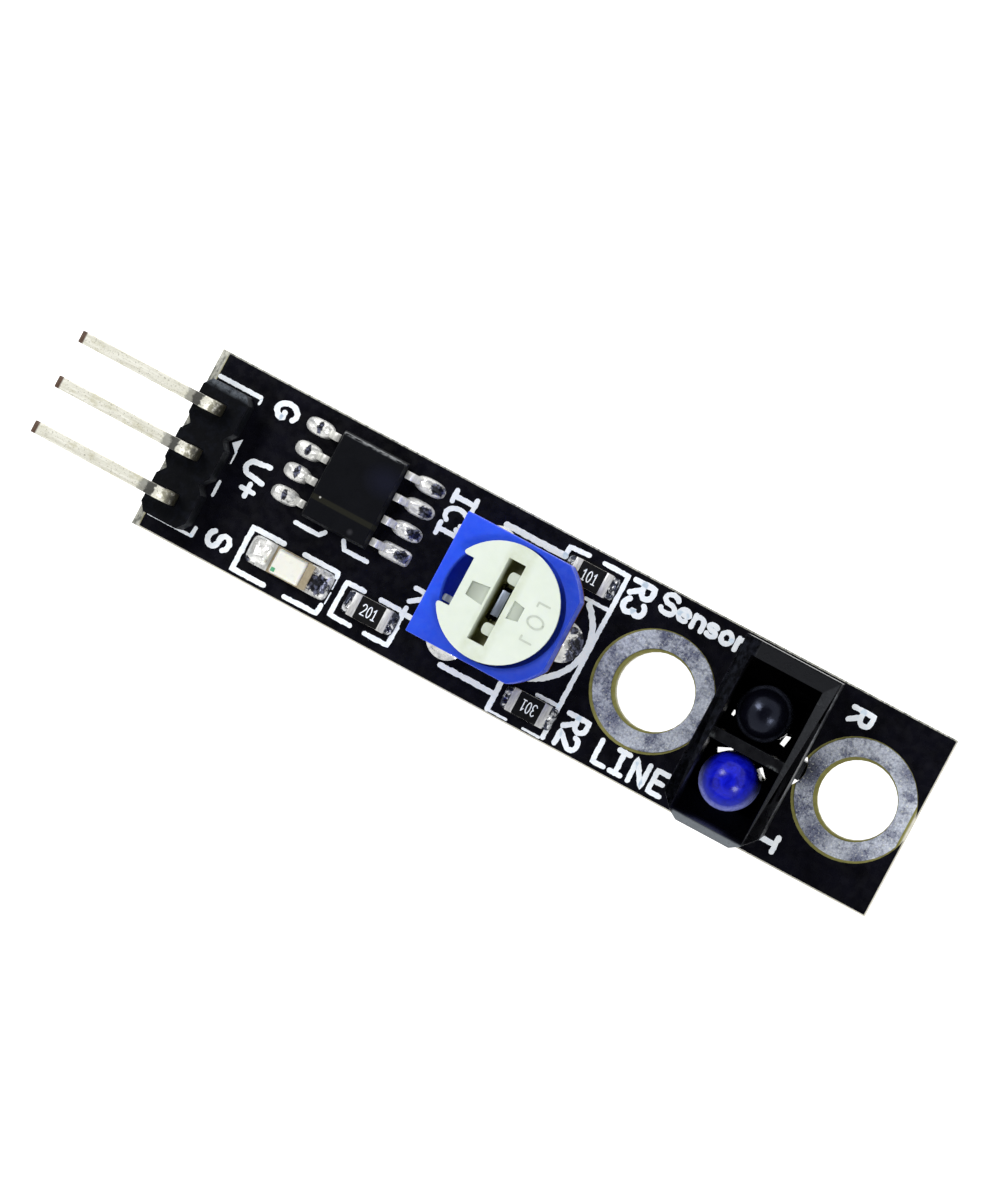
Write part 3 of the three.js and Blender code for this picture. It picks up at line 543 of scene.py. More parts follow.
def shaded_ivory():
    """The raised figures on the rotor: the same plastic, painted grey for the shade along their relief."""
    f = Finish("shaded_ivory", IOR=1.5, Subsurface_Weight=0.3)
    f.scatter(0.3, 0.3, 0.2)
    f.set("Base Color", f.mix(f.noise(0.2, 4), rgb(186, 194, 182), rgb(216, 224, 212)))
    f.sheen(0.2, 0.36, 0.5)
    f.bump(f.noise(0.08, 3), 0.004)
    return f.material


def sprung_steel():
    f = Finish("sprung_steel", Metallic=0.9)
    lines = f.noise(0.1, 3, place=f.stretch(1, 0.1, 1))
    f.set("Base Color", f.mix(lines, rgb(140, 152, 176), rgb(204, 214, 232)))
    f.set("Roughness", f.span(lines, 0.3, 0.7, 0.3, 0.45))
    f.bump(lines, 0.006)
    return f.material


def lens_place(f, node):
    """Distance from a diode's axis, and the place across it measured from the axis."""
    centre = (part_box(node)[0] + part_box(node)[1]) / 2 / MM
    x = f.minus(f.axis("X"), centre.x)
    y = f.minus(f.axis("Y"), DIODE_AXES[node])
    square = f.plus(f.times(x, x), f.times(y, y))
    return f.math("SQRT", square), y


def blue_lens():
    """Clear blue epoxy: deep in the middle, streaked, with a pale painted highlight round the front of its
    rim that is also made to glow.
    """
    f = Finish("blue_lens", IOR=1.45, Specular_IOR_Level=0.3, Coat_Weight=0.1, Coat_Roughness=0.1)
    radius, across = lens_place(f, "sensor_emitter")
    swirl = f.noise(0.6, 5, 0.65, distortion=1.5)
    lens = f.span(radius, 1.53, 1.5)
    # Painted highlight: the front of the rim is painted pale and given a glow, for the light the lens bends
    # there.
    rim = f.times(f.span(radius, 0.8, 1.4), lens, f.span(across, 0.6, -0.9))
    edge = f.times(f.span(radius, 1.2, 1.4), lens, f.span(across, 0.2, -0.9),
                   f.span(swirl, 0.36, 0.6, 0.4, 1.0))
    deep = f.mix(f.span(swirl, 0.35, 0.7), rgb(4, 6, 158), rgb(26, 36, 228))
    body = f.mix(f.times(rim, 0.7), deep, rgb(70, 84, 244))
    body = f.mix(f.times(edge, 0.8), body, rgb(176, 184, 255))
    f.set("Base Color", f.mix(lens, rgb(2, 3, 40), body))
    f.set("Emission Color", (0.36, 0.40, 1.0, 1.0))
    f.set("Emission Strength", f.plus(f.times(edge, 0.3), f.times(rim, 0.08)))
    f.sheen(0.4, 0.14, 0.28)
    f.bump(f.noise(0.8, 2), 0.03)
    return f.material


def black_lens():
    """Visible-light filter epoxy: black, with bluish highlights and a faint pale rim that is a painted
    highlight.
    """
    f = Finish("black_lens", IOR=1.5, Specular_IOR_Level=0.36, Specular_Tint=(0.62, 0.70, 1.0, 1.0))
    radius, across = lens_place(f, "sensor_detector")
    # Painted highlight: a faint pale ring near the edge of the dome.
    rim = f.times(f.span(radius, 1.2, 1.3), f.span(radius, 1.46, 1.4),
                  f.span(f.noise(0.5, 4, 0.7), 0.36, 0.6, 0.25, 1.0))
    dark = f.mix(f.noise(0.7, 3), rgb(3, 3, 7), rgb(10, 10, 20))
    f.set("Base Color", f.mix(f.times(rim, 0.8), dark, rgb(64, 68, 82)))
    f.sheen(0.4, 0.18, 0.32)
    f.bump(f.noise(0.7, 2), 0.03)
    return f.material


def green_dot():
    f = Finish("green_paint", Roughness=0.5)
    f.set("Base Color", f.mix(f.noise(0.1, 2), rgb(60, 150, 100), rgb(110, 190, 150)))
    f.bump(f.noise(0.05, 2), 0.004)
    return f.material


def tan_frame():
    f = Finish("tan_frame", Roughness=0.45, Metallic=0.3)
    f.set("Base Color", f.mix(f.noise(0.2, 3), rgb(150, 136, 108), rgb(196, 184, 156)))
    f.bump(f.noise(0.08, 2), 0.006)
    return f.material


def pale_floor():
    f = Finish("pale_floor", Roughness=0.8, Emission_Color=(1, 1, 1, 1), Emission_Strength=0.97)
    f.set("Base Color", f.mix(f.noise(30, 3), rgb(200, 200, 200), rgb(206, 206, 206)))
    return f.material


MASK_INK = solder_mask()
LAMINATE = laminate()
RING_TIN = ring_tin()
CAP_TIN = cap_tin()
SOLDER = solder()
LEAD_ROWS = [spot(f"comparator_lead_{n}").y for n in range(1, 5)]
# Each list gives (x, y, reach, tall) of a solder's painted dark reflections.
LEAD_SOLDER = solder("lead_solder", [(-8.22, row, 0.4, 0.75) for row in LEAD_ROWS]
                     + [(-14.98, row, 0.16, 2.2) for row in LEAD_ROWS])
TERMINAL_SOLDER = solder("terminal_solder", [(1.78, 0.05, 0.44, 2.2), (1.25, 0.8, 0.22, 1.0)])
LED_SOLDER = solder("led_solder", [(-11.35, -3.28, 0.62, 0.85), (-15.2, -3.8, 0.24, 0.6),
                                   (-14.5, -3.9, 0.2, 0.5)])
DULL_SOLDER = dull_solder()
LEAD_TIN = lead_tin()
PIN_METAL = drawn_metal()
HEADER_NYLON = header_nylon()
SENSOR_NYLON = sensor_nylon()
EPOXY = moulded_epoxy()
INK = silkscreen()
GLAZE = chip_glaze()
ALUMINA = alumina()
LENS = cream_epoxy()
PHENOLIC = phenolic()
BLUE = blue_plastic()
IVORY = ivory_plastic()
SHADED_IVORY = shaded_ivory()
STEEL = sprung_steel()
BLUE_LENS = blue_lens()
BLACK_LENS = black_lens()
GREEN = green_dot()
TAN = tan_frame()


# ---- Making pieces --------------------------------------------------------------------------------


def smooth(obj, angle=35):
    """Smooth shading with edges kept sharp above an angle."""
    for polygon in obj.data.polygons:
        polygon.use_smooth = True
    obj.data.set_sharp_from_angle(angle=math.radians(angle))


def add_piece(name, mesh, material, body):
    """A new object of the module, in the row frame, riding on a body."""
    mesh.materials.clear()
    mesh.materials.append(material)
    obj = bpy.data.objects.new(name, mesh)
    bpy.context.scene.collection.objects.link(obj)
    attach(obj, body)
    return obj


def mesh_from(name, points, faces):
    """A closed mesh from points in board millimetres."""
    bm = bmesh.new()
    vertices = [bm.verts.new(world(*p)) for p in points]
    for face in faces:
        bm.faces.new([vertices[i] for i in face])
    bmesh.ops.recalc_face_normals(bm, faces=bm.faces)
    mesh = bpy.data.meshes.new(name)
    bm.to_mesh(mesh)
    bm.free()
    return mesh


def soften(node, material, width, segments=2, angle=30):
    """A CAD node with its own mesh, a material, and edges rounded by modifiers."""
    obj = nodes[node]
    obj.data.materials.clear()
    obj.data.materials.append(material)
    weld = obj.modifiers.new("weld", "WELD")
    weld.merge_threshold = 2e-6
    flatten = obj.modifiers.new("flatten", "DECIMATE")
    flatten.decimate_type = "DISSOLVE"
    flatten.angle_limit = math.radians(0.5)
    if width:
        bevel = obj.modifiers.new("bevel", "BEVEL")
        bevel.width = width * MM
        bevel.segments = segments
        bevel.limit_method = "ANGLE"
        bevel.angle_limit = math.radians(angle)
    shade = obj.modifiers.new("shade", "WEIGHTED_NORMAL")
    shade.keep_sharp = True
    for polygon in obj.data.polygons:
        polygon.use_smooth = True
    return obj


def soften_outside(node, material, width, axis, reach):
    """A CAD node whose edges are rounded only further than reach from a vertical axis."""
    obj = soften(node, material, width, 3)
    group = obj.vertex_groups.new(name="outside")
    group.add([v.index for v in obj.data.vertices
               if ((obj.matrix_world @ v.co - ORIGIN) / MM - axis).xy.length > reach], 1.0, "REPLACE")
    bevel = obj.modifiers["bevel"]
    bevel.limit_method = "VGROUP"
    bevel.vertex_group = group.name
    return obj


def band_faces(rings, count):
    """The quads between neighbouring rings of count points each."""
    return [(ring * count + i, ring * count + (i + 1) % count,
             (ring + 1) * count + (i + 1) % count, (ring + 1) * count + i)
            for ring in range(rings - 1) for i in range(count)]


def plate(name, outline, bottom, top):
    """A flat piece: a convex or concave outline raised from bottom to top."""
    count = len(outline)
    points = [(x, y, bottom) for x, y in outline] + [(x, y, top) for x, y in outline]
    faces = [tuple(reversed(range(count))), tuple(range(count, 2 * count))]
    return mesh_from(name, points, faces + band_faces(2, count))


def circle_points(x, y, radius, count=48):
    return [(x + radius * math.cos(2 * math.pi * i / count), y + radius * math.sin(2 * math.pi * i / count))
            for i in range(count)]


def carve(mesh, cutters):
    """The mesh with each of the cutter meshes cut out of it."""
    obj = bpy.data.objects.new("carving", mesh)
    bpy.context.scene.collection.objects.link(obj)
    tools = []
    for cutter in cutters:
        tool = bpy.data.objects.new("tool", cutter)
        bpy.context.scene.collection.objects.link(tool)
        tools.append(tool)
        modifier = obj.modifiers.new("cut", "BOOLEAN")
        modifier.operation = "DIFFERENCE"
        modifier.solver = "EXACT"
        modifier.object = tool
    bpy.context.view_layer.update()
    result = bpy.data.meshes.new_from_object(obj.evaluated_get(bpy.context.evaluated_depsgraph_get()))
    for made in [*tools, obj]:
        bpy.data.objects.remove(made)
    return result


def join_meshes(name, meshes):
    """One mesh from several, left as separate closed shells."""
    bm = bmesh.new()
    for mesh in meshes:
        bm.from_mesh(mesh)
    joined = bpy.data.meshes.new(name)
    bm.to_mesh(joined)
    bm.free()
    return joined


# ---- Carried-over CAD nodes -----------------------------------------------------------------------

soften("circuit_board", LAMINATE, 0.04)
for side in ("top", "under"):
    for number in (1, 2):
        soften(f"hole_ring_{side}_{number}", RING_TIN, 0.02)
soften("header_housing", HEADER_NYLON, 0.18, 4, 20)
for number in (1, 2, 3):
    soften(f"header_pin_{number}", PIN_METAL, 0.05, 2)
soften("comparator_body", EPOXY, 0.06, 3, 8)
for number in range(1, 9):
    soften(f"comparator_lead_{number}", LEAD_TIN, 0.035, 2, 20)
soften("led_base", TAN, 0.02)
soften("led_lens", LENS, 0.12, 3, 20)
for node in [n for n in nodes if "_end_" in n]:
    soften(node, CAP_TIN, 0.02, 2)
soften_outside("trimmer_case", BLUE, 0.08, spot("trimmer_wiper"), 3.4)
soften("trimmer_substrate", PHENOLIC, 0.04)
soften("trimmer_rotor", IVORY, 0.06, 3, 25)
soften("trimmer_wiper", STEEL, 0.06, 3)
for number in (1, 2, 3):
    soften(f"trimmer_terminal_{number}", PIN_METAL, 0.05)
    soften(f"resistor_{number}", ALUMINA, 0.03)
soften("sensor_housing", SENSOR_NYLON, 0.05, 3, 12)
soften("sensor_emitter", BLUE_LENS, 0)
soften("sensor_detector", BLACK_LENS, 0)
for number in (1, 2, 3, 4):
    soften(f"sensor_lead_{number}", PIN_METAL, 0.04)


# ---- Solder mask and traces -----------------------------------------------------------------------

MASK_LEFT, MASK_RIGHT, MASK_HALF = -20.85, 20.79, 4.92
MASK_SLIP = (-0.05, -0.07)    # how far the mask was printed out of register
RING_OPENING, HOOK_OPENING, LEAD_OPENING = 3.2, 1.31, 0.62
RINGS = [(6.19, 0.0), (17.71, 0.0)]
HOOKS = [(10.38, -0.04), (13.54, -0.04)]
DRILLED = [tuple(spot(n).xy) for n in nodes
           if n.startswith(("header_solder", "trimmer_solder_top", "sensor_solder"))]


def mask_sheet(name, bottom, top):
    outline = [(MASK_LEFT, -MASK_HALF), (MASK_RIGHT, -MASK_HALF), (MASK_RIGHT, MASK_HALF),
               (MASK_LEFT, MASK_HALF)]
    low, high = bottom - 1, top + 1
    holes = [(*place, RING_OPENING) for place in RINGS]
    holes += [(*place, HOOK_OPENING) for place in HOOKS] + [(*place, LEAD_OPENING) for place in DRILLED]
    cutters = [plate("hole", circle_points(x + MASK_SLIP[0], y + MASK_SLIP[1], radius), low, high)
               for x, y, radius in holes]
    mesh = carve(plate(name, outline, bottom, top), cutters)
    return add_piece(name, mesh, MASK_INK, BOARD)


mask_sheet("solder_mask_top", 0.002, MASK)
mask_sheet("solder_mask_under", -BOARD_THICKNESS - MASK, -BOARD_THICKNESS - 0.002)


# ---- Strokes: silkscreen lines and letters --------------------------------------------------------


def arc(x, y, rx, ry, start, end, steps=10):
    """Points of an elliptical arc, its angles in degrees."""
    angles = [math.radians(start + (end - start) * i / steps) for i in range(steps + 1)]
    return [(x + rx * math.cos(a), y + ry * math.sin(a)) for a in angles]


# Each letter's advance and its polylines, in units of the letters' height.
GLYPHS = {
    "G": (0.80, [arc(0.42, 0.5, 0.36, 0.48, 50, 350) + [(0.78, 0.42), (0.5, 0.42)]]),
    "V": (0.84, [[(0.02, 1.0), (0.1, 0.45)] + arc(0.42, 0.36, 0.32, 0.34, 190, 350)
                 + [(0.74, 0.45), (0.82, 1.0)]]),
    "+": (0.84, [[(0.42, 0.12), (0.42, 0.88)], [(0.04, 0.5), (0.8, 0.5)]]),
    "S": (0.76, [arc(0.38, 0.74, 0.32, 0.25, 20, 270) + arc(0.38, 0.25, 0.34, 0.26, 90, -160)]),
    "I": (0.70, [[(0.1, 0.02), (0.6, 0.02)], [(0.1, 0.98), (0.6, 0.98)], [(0.35, 0.0), (0.35, 1.0)]]),
    "C": (0.76, [arc(0.42, 0.5, 0.36, 0.5, 42, 318)]),
    "1": (0.66, [[(0.1, 0.74), (0.36, 0.98), (0.36, 0.02)], [(0.1, 0.02), (0.6, 0.02)]]),
    "0": (0.74, [arc(0.37, 0.5, 0.3, 0.48, 0, 360, 20)]),
    "2": (0.74, [arc(0.37, 0.72, 0.3, 0.26, 170, -40) + [(0.06, 0.02), (0.7, 0.02)]]),
    "3": (0.72, [arc(0.34, 0.75, 0.29, 0.24, 150, -80) + arc(0.34, 0.26, 0.32, 0.26, 80, -155)]),
    "R": (0.80, [[(0.12, 0.0), (0.12, 1.0), (0.42, 1.0)] + arc(0.44, 0.74, 0.28, 0.26, 90, -90)
                 + [(0.12, 0.48)], [(0.4, 0.48), (0.74, 0.0)]]),
    "T": (0.80, [[(0.04, 0.98), (0.76, 0.98)], [(0.4, 0.98), (0.4, 0.0)]]),
    "L": (0.66, [[(0.1, 1.0), (0.1, 0.02), (0.62, 0.02)]]),
    "N": (0.80, [[(0.1, 0.0), (0.1, 1.0), (0.7, 0.0), (0.7, 1.0)]]),
    "E": (0.70, [[(0.64, 0.98), (0.1, 0.98), (0.1, 0.02), (0.64, 0.02)], [(0.1, 0.52), (0.54, 0.52)]]),
    "e": (0.66, [[(0.1, 0.36), (0.58, 0.36)] + arc(0.34, 0.33, 0.26, 0.3, 8, 310, 14)]),
    "n": (0.66, [[(0.1, 0.0), (0.1, 0.64)], arc(0.34, 0.36, 0.24, 0.26, 170, 0) + [(0.58, 0.0)]]),
    "s": (0.60, [arc(0.3, 0.47, 0.2, 0.15, 30, 265) + arc(0.3, 0.17, 0.22, 0.16, 90, -150)]),
    "o": (0.70, [arc(0.35, 0.33, 0.26, 0.3, 0, 360, 16)]),
    "r": (0.50, [[(0.1, 0.0), (0.1, 0.64)], arc(0.32, 0.38, 0.2, 0.24, 170, 50)]),
}


def refine_line(points, step):
    """The polyline with points added so that none are further apart than step."""
    fine = [points[0]]
    for (x0, y0), (x1, y1) in zip(points, points[1:]):
        count = max(1, math.ceil(math.hypot(x1 - x0, y1 - y0) / step))
        fine += [(x0 + (x1 - x0) * i / count, y0 + (y1 - y0) * i / count) for i in range(1, count + 1)]
    return fine


def stroke(points, width, bottom, height, rough=0.15):
    """A raised line with round ends, whose edges wander by rough of its width."""
    line = [Vector(p) for p in refine_line(points, width * 0.45)]
    seed = rng.random() * 50
    sides = []
    for i, here in enumerate(line):
        ahead = line[min(i + 1, len(line) - 1)] - line[max(i - 1, 0)]
        across = Vector((-ahead.y, ahead.x)).normalized() * width / 2
        wander = [1 + rough * 2 * noise.noise(Vector((here.x * 7 + seed, here.y * 7, side * 9)))
                  for side in (1, 2)]
        sides.append((here + across * wander[0], here - across * wander[1], across))
    left = [s[0] for s in sides]
    right = [s[1] for s in sides]

    def cap(centre, across, sign):
        ahead = Vector((across.y, -across.x)) * sign
        angles = [math.pi * k / 5 for k in range(1, 5)]
        return [centre + across * math.cos(a) * sign + ahead * math.sin(a) for a in angles]

    end = cap(line[-1], sides[-1][2], 1)
    start = cap(line[0], sides[0][2], -1)
    rim = left + end + right[::-1] + start
    count, n = len(rim), len(line)
    faces = []
    for level in (0, count):
        order = (lambda f: f) if level else (lambda f: f[::-1])
        for i in range(n - 1):
            ring = [i, i + 1, n + 4 + (n - 2 - i), n + 4 + (n - 1 - i)]
            faces.append([level + k for k in order(ring)])
        faces.append([level + k for k in order(list(range(n - 1, n + 5)))])
        faces.append([level + k for k in order([2 * n + 3, *range(2 * n + 4, 2 * n + 8), 0])])
    solid = [(p.x, p.y, bottom) for p in rim] + [(p.x, p.y, bottom + height) for p in rim]
    return mesh_from("stroke", solid, faces + band_faces(2, count))


INK_HEIGHT = 0.014


def lettering(text, x, y, height, up, width=0.2, gap=0.16, spread=1.0, bottom=TOP,
              thickness=INK_HEIGHT):
    """Strokes of a word that starts at (x, y); up is the direction of the letters' tops, in degrees."""
    turn = math.radians(up - 90)
    made, pen = [], 0.0
    for letter in text:
        advance, lines = GLYPHS[letter]
        for line in lines:
            placed = [((pen + px * spread) * height, py * height) for px, py in line]
            turned_line = [(x + px * math.cos(turn) - py * math.sin(turn),
                            y + px * math.sin(turn) + py * math.cos(turn)) for px, py in placed]
            made.append(stroke(turned_line, width, bottom, thickness))
            bottom += 0.0004
        pen += advance * spread + gap
    return made


def ink(name, meshes):
    return add_piece(name, join_meshes(name, meshes), INK, BOARD)


def lines(*polylines, width=0.22):
    return [stroke(p, width, TOP + 0.0003 * i, INK_HEIGHT) for i, p in enumerate(polylines)]


ink("silk_header", lines([(-20.76, 3.7), (-18.4, 3.7)], width=0.24)
    + lines([(-18.32, 3.62), (-18.34, 3.38)], width=0.14)
    + [plate("wedge", [(-18.62, 1.0), (-18.2, 0.55), (-18.2, 1.4)], TOP, TOP + INK_HEIGHT)]
    + lines([(-18.2, 0.7), (-18.2, 0.04)], width=0.08)
    + lines([(-18.25, -1.04), (-18.25, -1.82)], width=0.17)
    + lines([(-18.22, -3.7), (-18.24, -4.12)], width=0.22)
    + lines([(-20.72, -4.16), (-18.24, -4.16)], width=0.16))
ink("silk_comparator", lines([(-13.85, -1.05), (-12.5, -1.05), (-12.28, -0.78)],
                             [(-11.25, -0.72), (-11.0, -1.1), (-9.7, -1.1)], width=0.24))
ink("silk_led", lines([(-13.85, -2.27), (-15.62, -2.27), (-15.62, -4.62), (-13.8, -4.62)], width=0.28)
    + lines([(-12.66, -2.27), (-10.72, -2.27), (-10.68, -2.5)],
            [(-10.72, -4.14), (-10.74, -4.62), (-12.6, -4.64)], width=0.26)
    + lines([(-10.6, -2.62), (-10.6, -3.15)], [(-10.58, -3.35), (-10.6, -3.98)], width=0.07))
ink("silk_resistor_1", lines([(-9.1, -2.48), (-10.1, -2.48), (-10.12, -4.34), (-8.95, -4.36)],
                             [(-8.15, -2.46), (-7.1, -2.46)], [(-6.78, -3.3), (-6.8, -4.34), (-8.1, -4.36)],
                             width=0.26)
    + lines([(-6.98, -2.5), (-6.86, -2.74)], [(-6.8, -2.95), (-6.78, -3.3)], width=0.16))
ink("silk_trimmer", lines([(-4.3, 3.9), (-0.95, 3.9)], width=0.34)
    + lines([(-0.95, 3.9), (-0.95, 4.42), (0.12, 4.5)], [(1.0, 4.5), (2.36, 4.5), (2.36, -4.72)], width=0.25)
    + lines([(0.98, 2.5), (2.3, 2.5)], [(1.1, -2.95), (2.3, -2.95)], width=0.2)
    + lines([(-3.95, -3.94), (-0.9, -3.94)], [(-0.8, -3.3), (-0.8, -4.76)], width=0.29)
    + lines([(-0.7, -4.8), (0.3, -4.8)], [(1.25, -4.8), (2.2, -4.8)], width=0.13)
    + lines(arc(-1.4, 0.25, 3.62, 3.05, 42, -62, 16), width=0.32))
ink("silk_pin_names", lettering("G", -17.45, 4.18, 1.16, 0, 0.3) + lettering("V", -17.45, 0.82, 1.16, 0, 0.28)
    + lettering("+", -17.25, -0.38, 0.9, 0, 0.26) + lettering("S", -17.45, -3.28, 1.16, 0, 0.29))
ink("silk_part_names", lettering("IC1", -7.35, 4.38, 1.2, 0, 0.26, 0.02)
    + lettering("R1", -6.85, -0.95, 1.2, 0, 0.27) + lettering("R3", 2.78, 4.66, 1.12, 0, 0.3, 0.14)
    + lettering("R2", 2.98, -2.85, 1.14, 0, 0.28, 0.1))
ink("silk_words", lettering("Sensor", 4.45, 3.74, 1.0, 90, 0.27, 0.1, 1.1)
    + lettering("LINE", 5.0, -4.6, 1.2, 90, 0.27, 0.16)
    + lettering("R", 15.48, 4.2, 1.12, 0, 0.28) + lettering("T", 14.15, -3.5, 1.1, 0, 0.28))

TRACES = [
    [(-19.7, 2.2), (-16.9, 2.2), (-16.3, 2.5), (-13.6, 2.5)],
    [(-19.7, -0.35), (-16.5, -0.35), (-15.6, 0.5), (-15.6, 1.2)],
    [(-19.7, -2.85), (-17.9, -2.85), (-16.6, -2.2), (-14.6, -2.2), (-13.1, -1.1), (-12.2, -0.6)],
    [(-8.2, 1.2), (-7.2, 1.2), (-6.4, 0.4), (-4.2, 0.4)],
    [(-8.9, -2.6), (-8.6, -1.7), (-8.2, -1.0), (-8.2, -0.1)],
    [(-8.2, 3.8), (-6.8, 4.6), (-1.4, 4.6)],
    [(2.2, 1.4), (2.68, 0.6), (2.68, -2.2), (2.0, -3.6)],
]


def trace_relief(name, bottom, direction):
    made = [stroke(t, 0.9 if i < 3 else 0.4, bottom, direction * 0.03, 0.0) for i, t in enumerate(TRACES)]
    return add_piece(name, join_meshes(name, made), MASK_INK, BOARD)


trace_relief("trace_relief_top", MASK - 0.018, 1)
trace_relief("trace_relief_under", -BOARD_THICKNESS - MASK + 0.018, -1)


# ---- Solder on the surface-mounted parts ----------------------------------------------------------


def blob(x, y, half_x, half_y, height, power=2.6, lean=0.0, lumps=0.08, rings=9, count=32):
    """A solder mound on an oblong pad: steep at its rim, highest at lean of its half length."""
    seed = rng.random() * 40
    bottom = TOP - 0.02
    points = []
    for ring in range(rings):
        r = 1 - ring / rings
        for i in range(count):
            angle = 2 * math.pi * i / count
            c, s = math.cos(angle), math.sin(angle)
            u = r * math.copysign(abs(c) ** (2 / power), c) + lean * (1 - r)
            v = r * math.copysign(abs(s) ** (2 / power), s)
            swell = math.sqrt(max(0.0, 1 - r ** 2.4))
            lump = 1 + lumps * 2 * noise.noise(Vector((u * 1.6 + seed, v * 1.6, 0)))
            points.append((x + u * half_x, y + v * half_y, bottom + height * swell * lump))
    points.append((x + lean * half_x, y, bottom + height))
    last = (rings - 1) * count
    faces = band_faces(rings, count)
    faces += [(last + i, last + (i + 1) % count, len(points) - 1) for i in range(count)]
    faces.append(tuple(reversed(range(count))))
    return mesh_from("blob", points, faces)


def solder_piece(name, meshes, material=SOLDER):
    obj = add_piece(name, join_meshes(name, meshes), material, BOARD)
    smooth(obj, 60)
    return obj


def lead_solder():
    made = []
    for number in range(1, 9):
        low, high = extent(f"comparator_lead_{number}")
        middle = (low.y + high.y) / 2 + rng.uniform(-0.03, 0.03)
        if number <= 4:
            made.append(blob(low.x - 0.02, middle, rng.uniform(0.7, 0.82), 0.44, 0.3, 2.6, 0.45, 0.2))
        else:
            shape = 2.6 if number > 5 else 5
            made.append(blob(high.x + 0.12, middle, 0.86, 0.43, 0.27, shape, 0.2, 0.2))
    return made


def chip_solder(prefix):
    """A joint at each plated end of a chip, highest where it meets the chip."""
    made = []
    for side, sign in (("left", -1), ("right", 1)):
        low, high = extent(f"{prefix}_end_{side}")
        edge = low.x if sign < 0 else high.x
        made.append(blob(edge, (low.y + high.y) / 2, 0.42, 0.62, 0.36, 5, -0.3 * sign, 0.3))
    return made


solder_piece("comparator_solder", lead_solder(), LEAD_SOLDER)
solder_piece("led_solder", [blob(-14.68, -3.2, 0.68, 0.76, 0.66, 5, 0.3, 0.1),
                            blob(-11.38, -3.2, 0.7, 0.76, 0.66, 5, -0.3, 0.1)], LED_SOLDER)
for number in (1, 2, 3):
    solder_piece(f"resistor_{number}_solder", chip_solder(f"resistor_{number}"), DULL_SOLDER)


def mound(node, above, material=SOLDER):
    """A finer solder fillet in the place of a CAD cone: steep at the lead, thin and lumpy at its foot."""
    low, high = extent(node)
    centre = (low + high) / 2
    foot, rise = (high.x - low.x) / 2, high.z - low.z
    base, sign = (low.z, 1) if above else (high.z, -1)
    seed = rng.random() * 40
    neck, rings, count = 0.24, 10, 36
    points = []
    for ring in range(rings):
        t = ring / (rings - 1)
        for i in range(count):
            angle = 2 * math.pi * i / count
            where = Vector((math.cos(angle) * 1.3 + seed, math.sin(angle) * 1.3, t * 2))
            lump = 1 + 0.14 * noise.noise(where)
            radius = (neck + (foot - neck) * (1 - t) ** 1.5) * (lump if ring else 1)
            height = rise * (t ** 0.85) * (lump if 0 < ring < rings - 1 else 1)
            points.append((centre.x + radius * math.cos(angle), centre.y + radius * math.sin(angle),
                           base + sign * min(height, rise)))
    faces = band_faces(rings, count)
    faces.append(tuple(reversed(range(count))))
    faces.append(tuple(range((rings - 1) * count, rings * count)))
    obj = solder_piece(f"{node}_fillet", [mesh_from("mound", points, faces)], material)
    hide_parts(node)


for number in (1, 2, 3):
    mound(f"header_solder_{number}", False)
    mound(f"trimmer_solder_top_{number}", True, TERMINAL_SOLDER if number == 3 else SOLDER)
    mound(f"trimmer_solder_under_{number}", False)
for number in (1, 2, 3, 4):
    mound(f"sensor_solder_{number}", False)


# ---- Small details --------------------------------------------------------------------------------


def rounded_plate(name, x, y, half_x, half_y, bottom, top, radius=0.06):
    corners = [(half_x, half_y, 0), (-half_x, half_y, 90), (-half_x, -half_y, 180), (half_x, -half_y, 270)]
    outline = []
    for cx, cy, start in corners:
        middle = (x + cx - math.copysign(radius, cx), y + cy - math.copysign(radius, cy))
        outline += arc(*middle, radius, radius, start, start + 90, 4)
    return plate(name, outline, bottom, top)


RESISTOR_CODES = {1: ("201", 90), 2: ("301", -90), 3: ("101", 90)}
for number, (code, up) in RESISTOR_CODES.items():
    name = f"resistor_{number}"
    low, high = extent(name)
    middle = (low + high) / 2
    film = rounded_plate("film", middle.x, middle.y, 0.68, 0.62, high.z - 0.01, high.z + 0.035)
    add_piece(f"{name}_film", film, GLAZE, BOARD)
    flip = 1 if up > 0 else -1
    digits = lettering(code, middle.x - 0.44 * flip, middle.y - 0.3 * flip, 0.6, up, 0.055, 0.1, 0.56,
                       high.z + 0.03, 0.012)
    add_piece(f"{name}_code", join_meshes("code", digits), INK, BOARD)

led_low, led_high = extent("led_lens")
frame_bar = rounded_plate("bar", led_high.x + 0.16, (led_low.y + led_high.y) / 2, 0.19, 0.69, led_low.z,
                          led_low.z + 0.42, 0.05)
add_piece("led_frame_bar", frame_bar, TAN, BOARD)
dot = rounded_plate("dot", led_low.x + 0.24, led_low.y + 0.24, 0.11, 0.11, led_high.z - 0.02,
                    led_high.z + 0.008, 0.03)
add_piece("led_polarity_dot", dot, GREEN, BOARD)

rotor_top = extent("trimmer_rotor")[1].z
rotor_digits = [stroke(p, 0.1, rotor_top - 0.02, 0.045, 0.0)
                for p in ([(-0.62, 1.1), (-0.62, 1.3), (-0.02, 1.3)], arc(-0.32, 0.32, 0.42, 0.3, 0, 360, 20),
                          [(-0.62, -0.55), (-0.62, -0.75), (-0.02, -0.75)])]
add_piece("trimmer_rotor_digits", join_meshes("digits", rotor_digits), SHADED_IVORY, ROTOR)
axis = spot("trimmer_wiper")
tab = rounded_plate("tab", axis.x - 2.36, axis.y - 1.0, 0.28, 0.17, rotor_top - 1.5, rotor_top - 0.7, 0.07)
add_piece("trimmer_stop_tab", tab, STEEL, ROTOR)


# ---- Stage, light and camera ----------------------------------------------------------------------


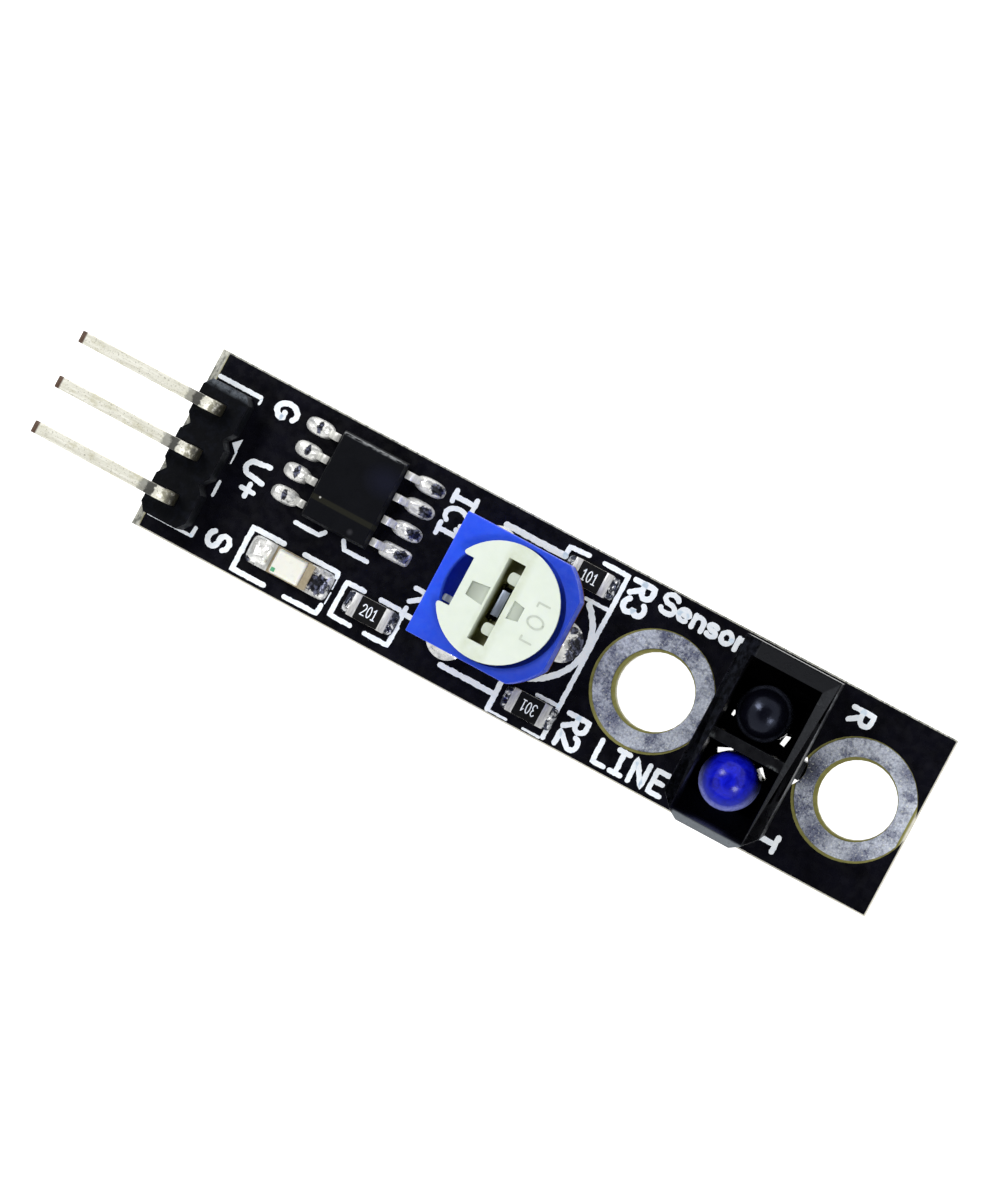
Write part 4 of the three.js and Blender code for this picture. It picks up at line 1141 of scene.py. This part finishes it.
def make_floor():
    size, gap = 4.0, 0.0002    # metres
    bpy.ops.mesh.primitive_plane_add(size=size, location=(0, 0, cad_box[0].z - gap))
    floor = bpy.context.object
    floor.name = "floor"
    floor.data.materials.append(pale_floor())


# The sky's brightness: (sine of the height above the horizon, tone).
SKY = [(0.0, 1.0), (0.25, 1.0), (0.5, 0.84), (0.76, 0.8), (0.92, 0.03), (1.0, 0.01)]


def make_world():
    """White round the horizon and dark straight overhead, so that the glossy mask stays black."""
    studio = bpy.data.worlds.new("studio")
    bpy.context.scene.world = studio
    studio.use_nodes = True
    tree = studio.node_tree
    background = tree.nodes["Background"]
    place = tree.nodes.new("ShaderNodeTexCoord")
    split = tree.nodes.new("ShaderNodeSeparateXYZ")
    ramp = tree.nodes.new("ShaderNodeValToRGB")
    while len(ramp.color_ramp.elements) < len(SKY):
        ramp.color_ramp.elements.new(0.5)
    for element, (height, tone) in zip(ramp.color_ramp.elements, SKY):
        element.position = height
        element.color = (tone, tone, tone, 1)
    tree.links.new(place.outputs["Generated"], split.inputs["Vector"])
    tree.links.new(split.outputs["Z"], ramp.inputs["Fac"])
    tree.links.new(ramp.outputs["Color"], background.inputs["Color"])


def make_light(name, place, size, power):
    """A square or oblong lamp aimed at the middle of the row frame; place and size are in metres."""
    data = bpy.data.lights.new(name, "AREA")
    data.shape = "RECTANGLE"
    data.size, data.size_y = size
    data.energy = power
    light = bpy.data.objects.new(name, data)
    light.location = place
    light.rotation_euler = (-light.location).to_track_quat("-Z", "Y").to_euler()
    bpy.context.scene.collection.objects.link(light)


CAMERA_AT = (19.3, 6.18, 261.7)
CAMERA_AIM = (-2.82, 0.38, 0.0)
CAMERA_ROLL = -28.07
CAMERA_LENS = 156.03
CAMERA_SENSOR = 36.0


def make_camera():
    data = bpy.data.cameras.new("camera")
    data.lens, data.sensor_width = CAMERA_LENS, CAMERA_SENSOR
    data.clip_start, data.clip_end = 0.01, 10
    camera = bpy.data.objects.new("camera", data)
    bpy.context.scene.collection.objects.link(camera)
    forward = (world(*CAMERA_AIM) - world(*CAMERA_AT)).normalized()
    up = Vector((0, 1, 0))
    up = (up - forward * up.dot(forward)).normalized()
    up.rotate(Matrix.Rotation(math.radians(CAMERA_ROLL), 3, forward))
    right = forward.cross(up)
    turned = Matrix((right, up, -forward)).transposed().to_4x4()
    camera.matrix_world = Matrix.Translation(world(*CAMERA_AT)) @ turned
    bpy.context.scene.camera = camera


make_floor()
make_world()
make_light("key", (-0.255, 0.147, 0.405), (0.14, 0.14), 0.9)
make_light("fill", (0.30, -0.11, 0.38), (0.12, 0.12), 0.55)
make_camera()
bpy.context.scene.view_settings.view_transform = "Standard"
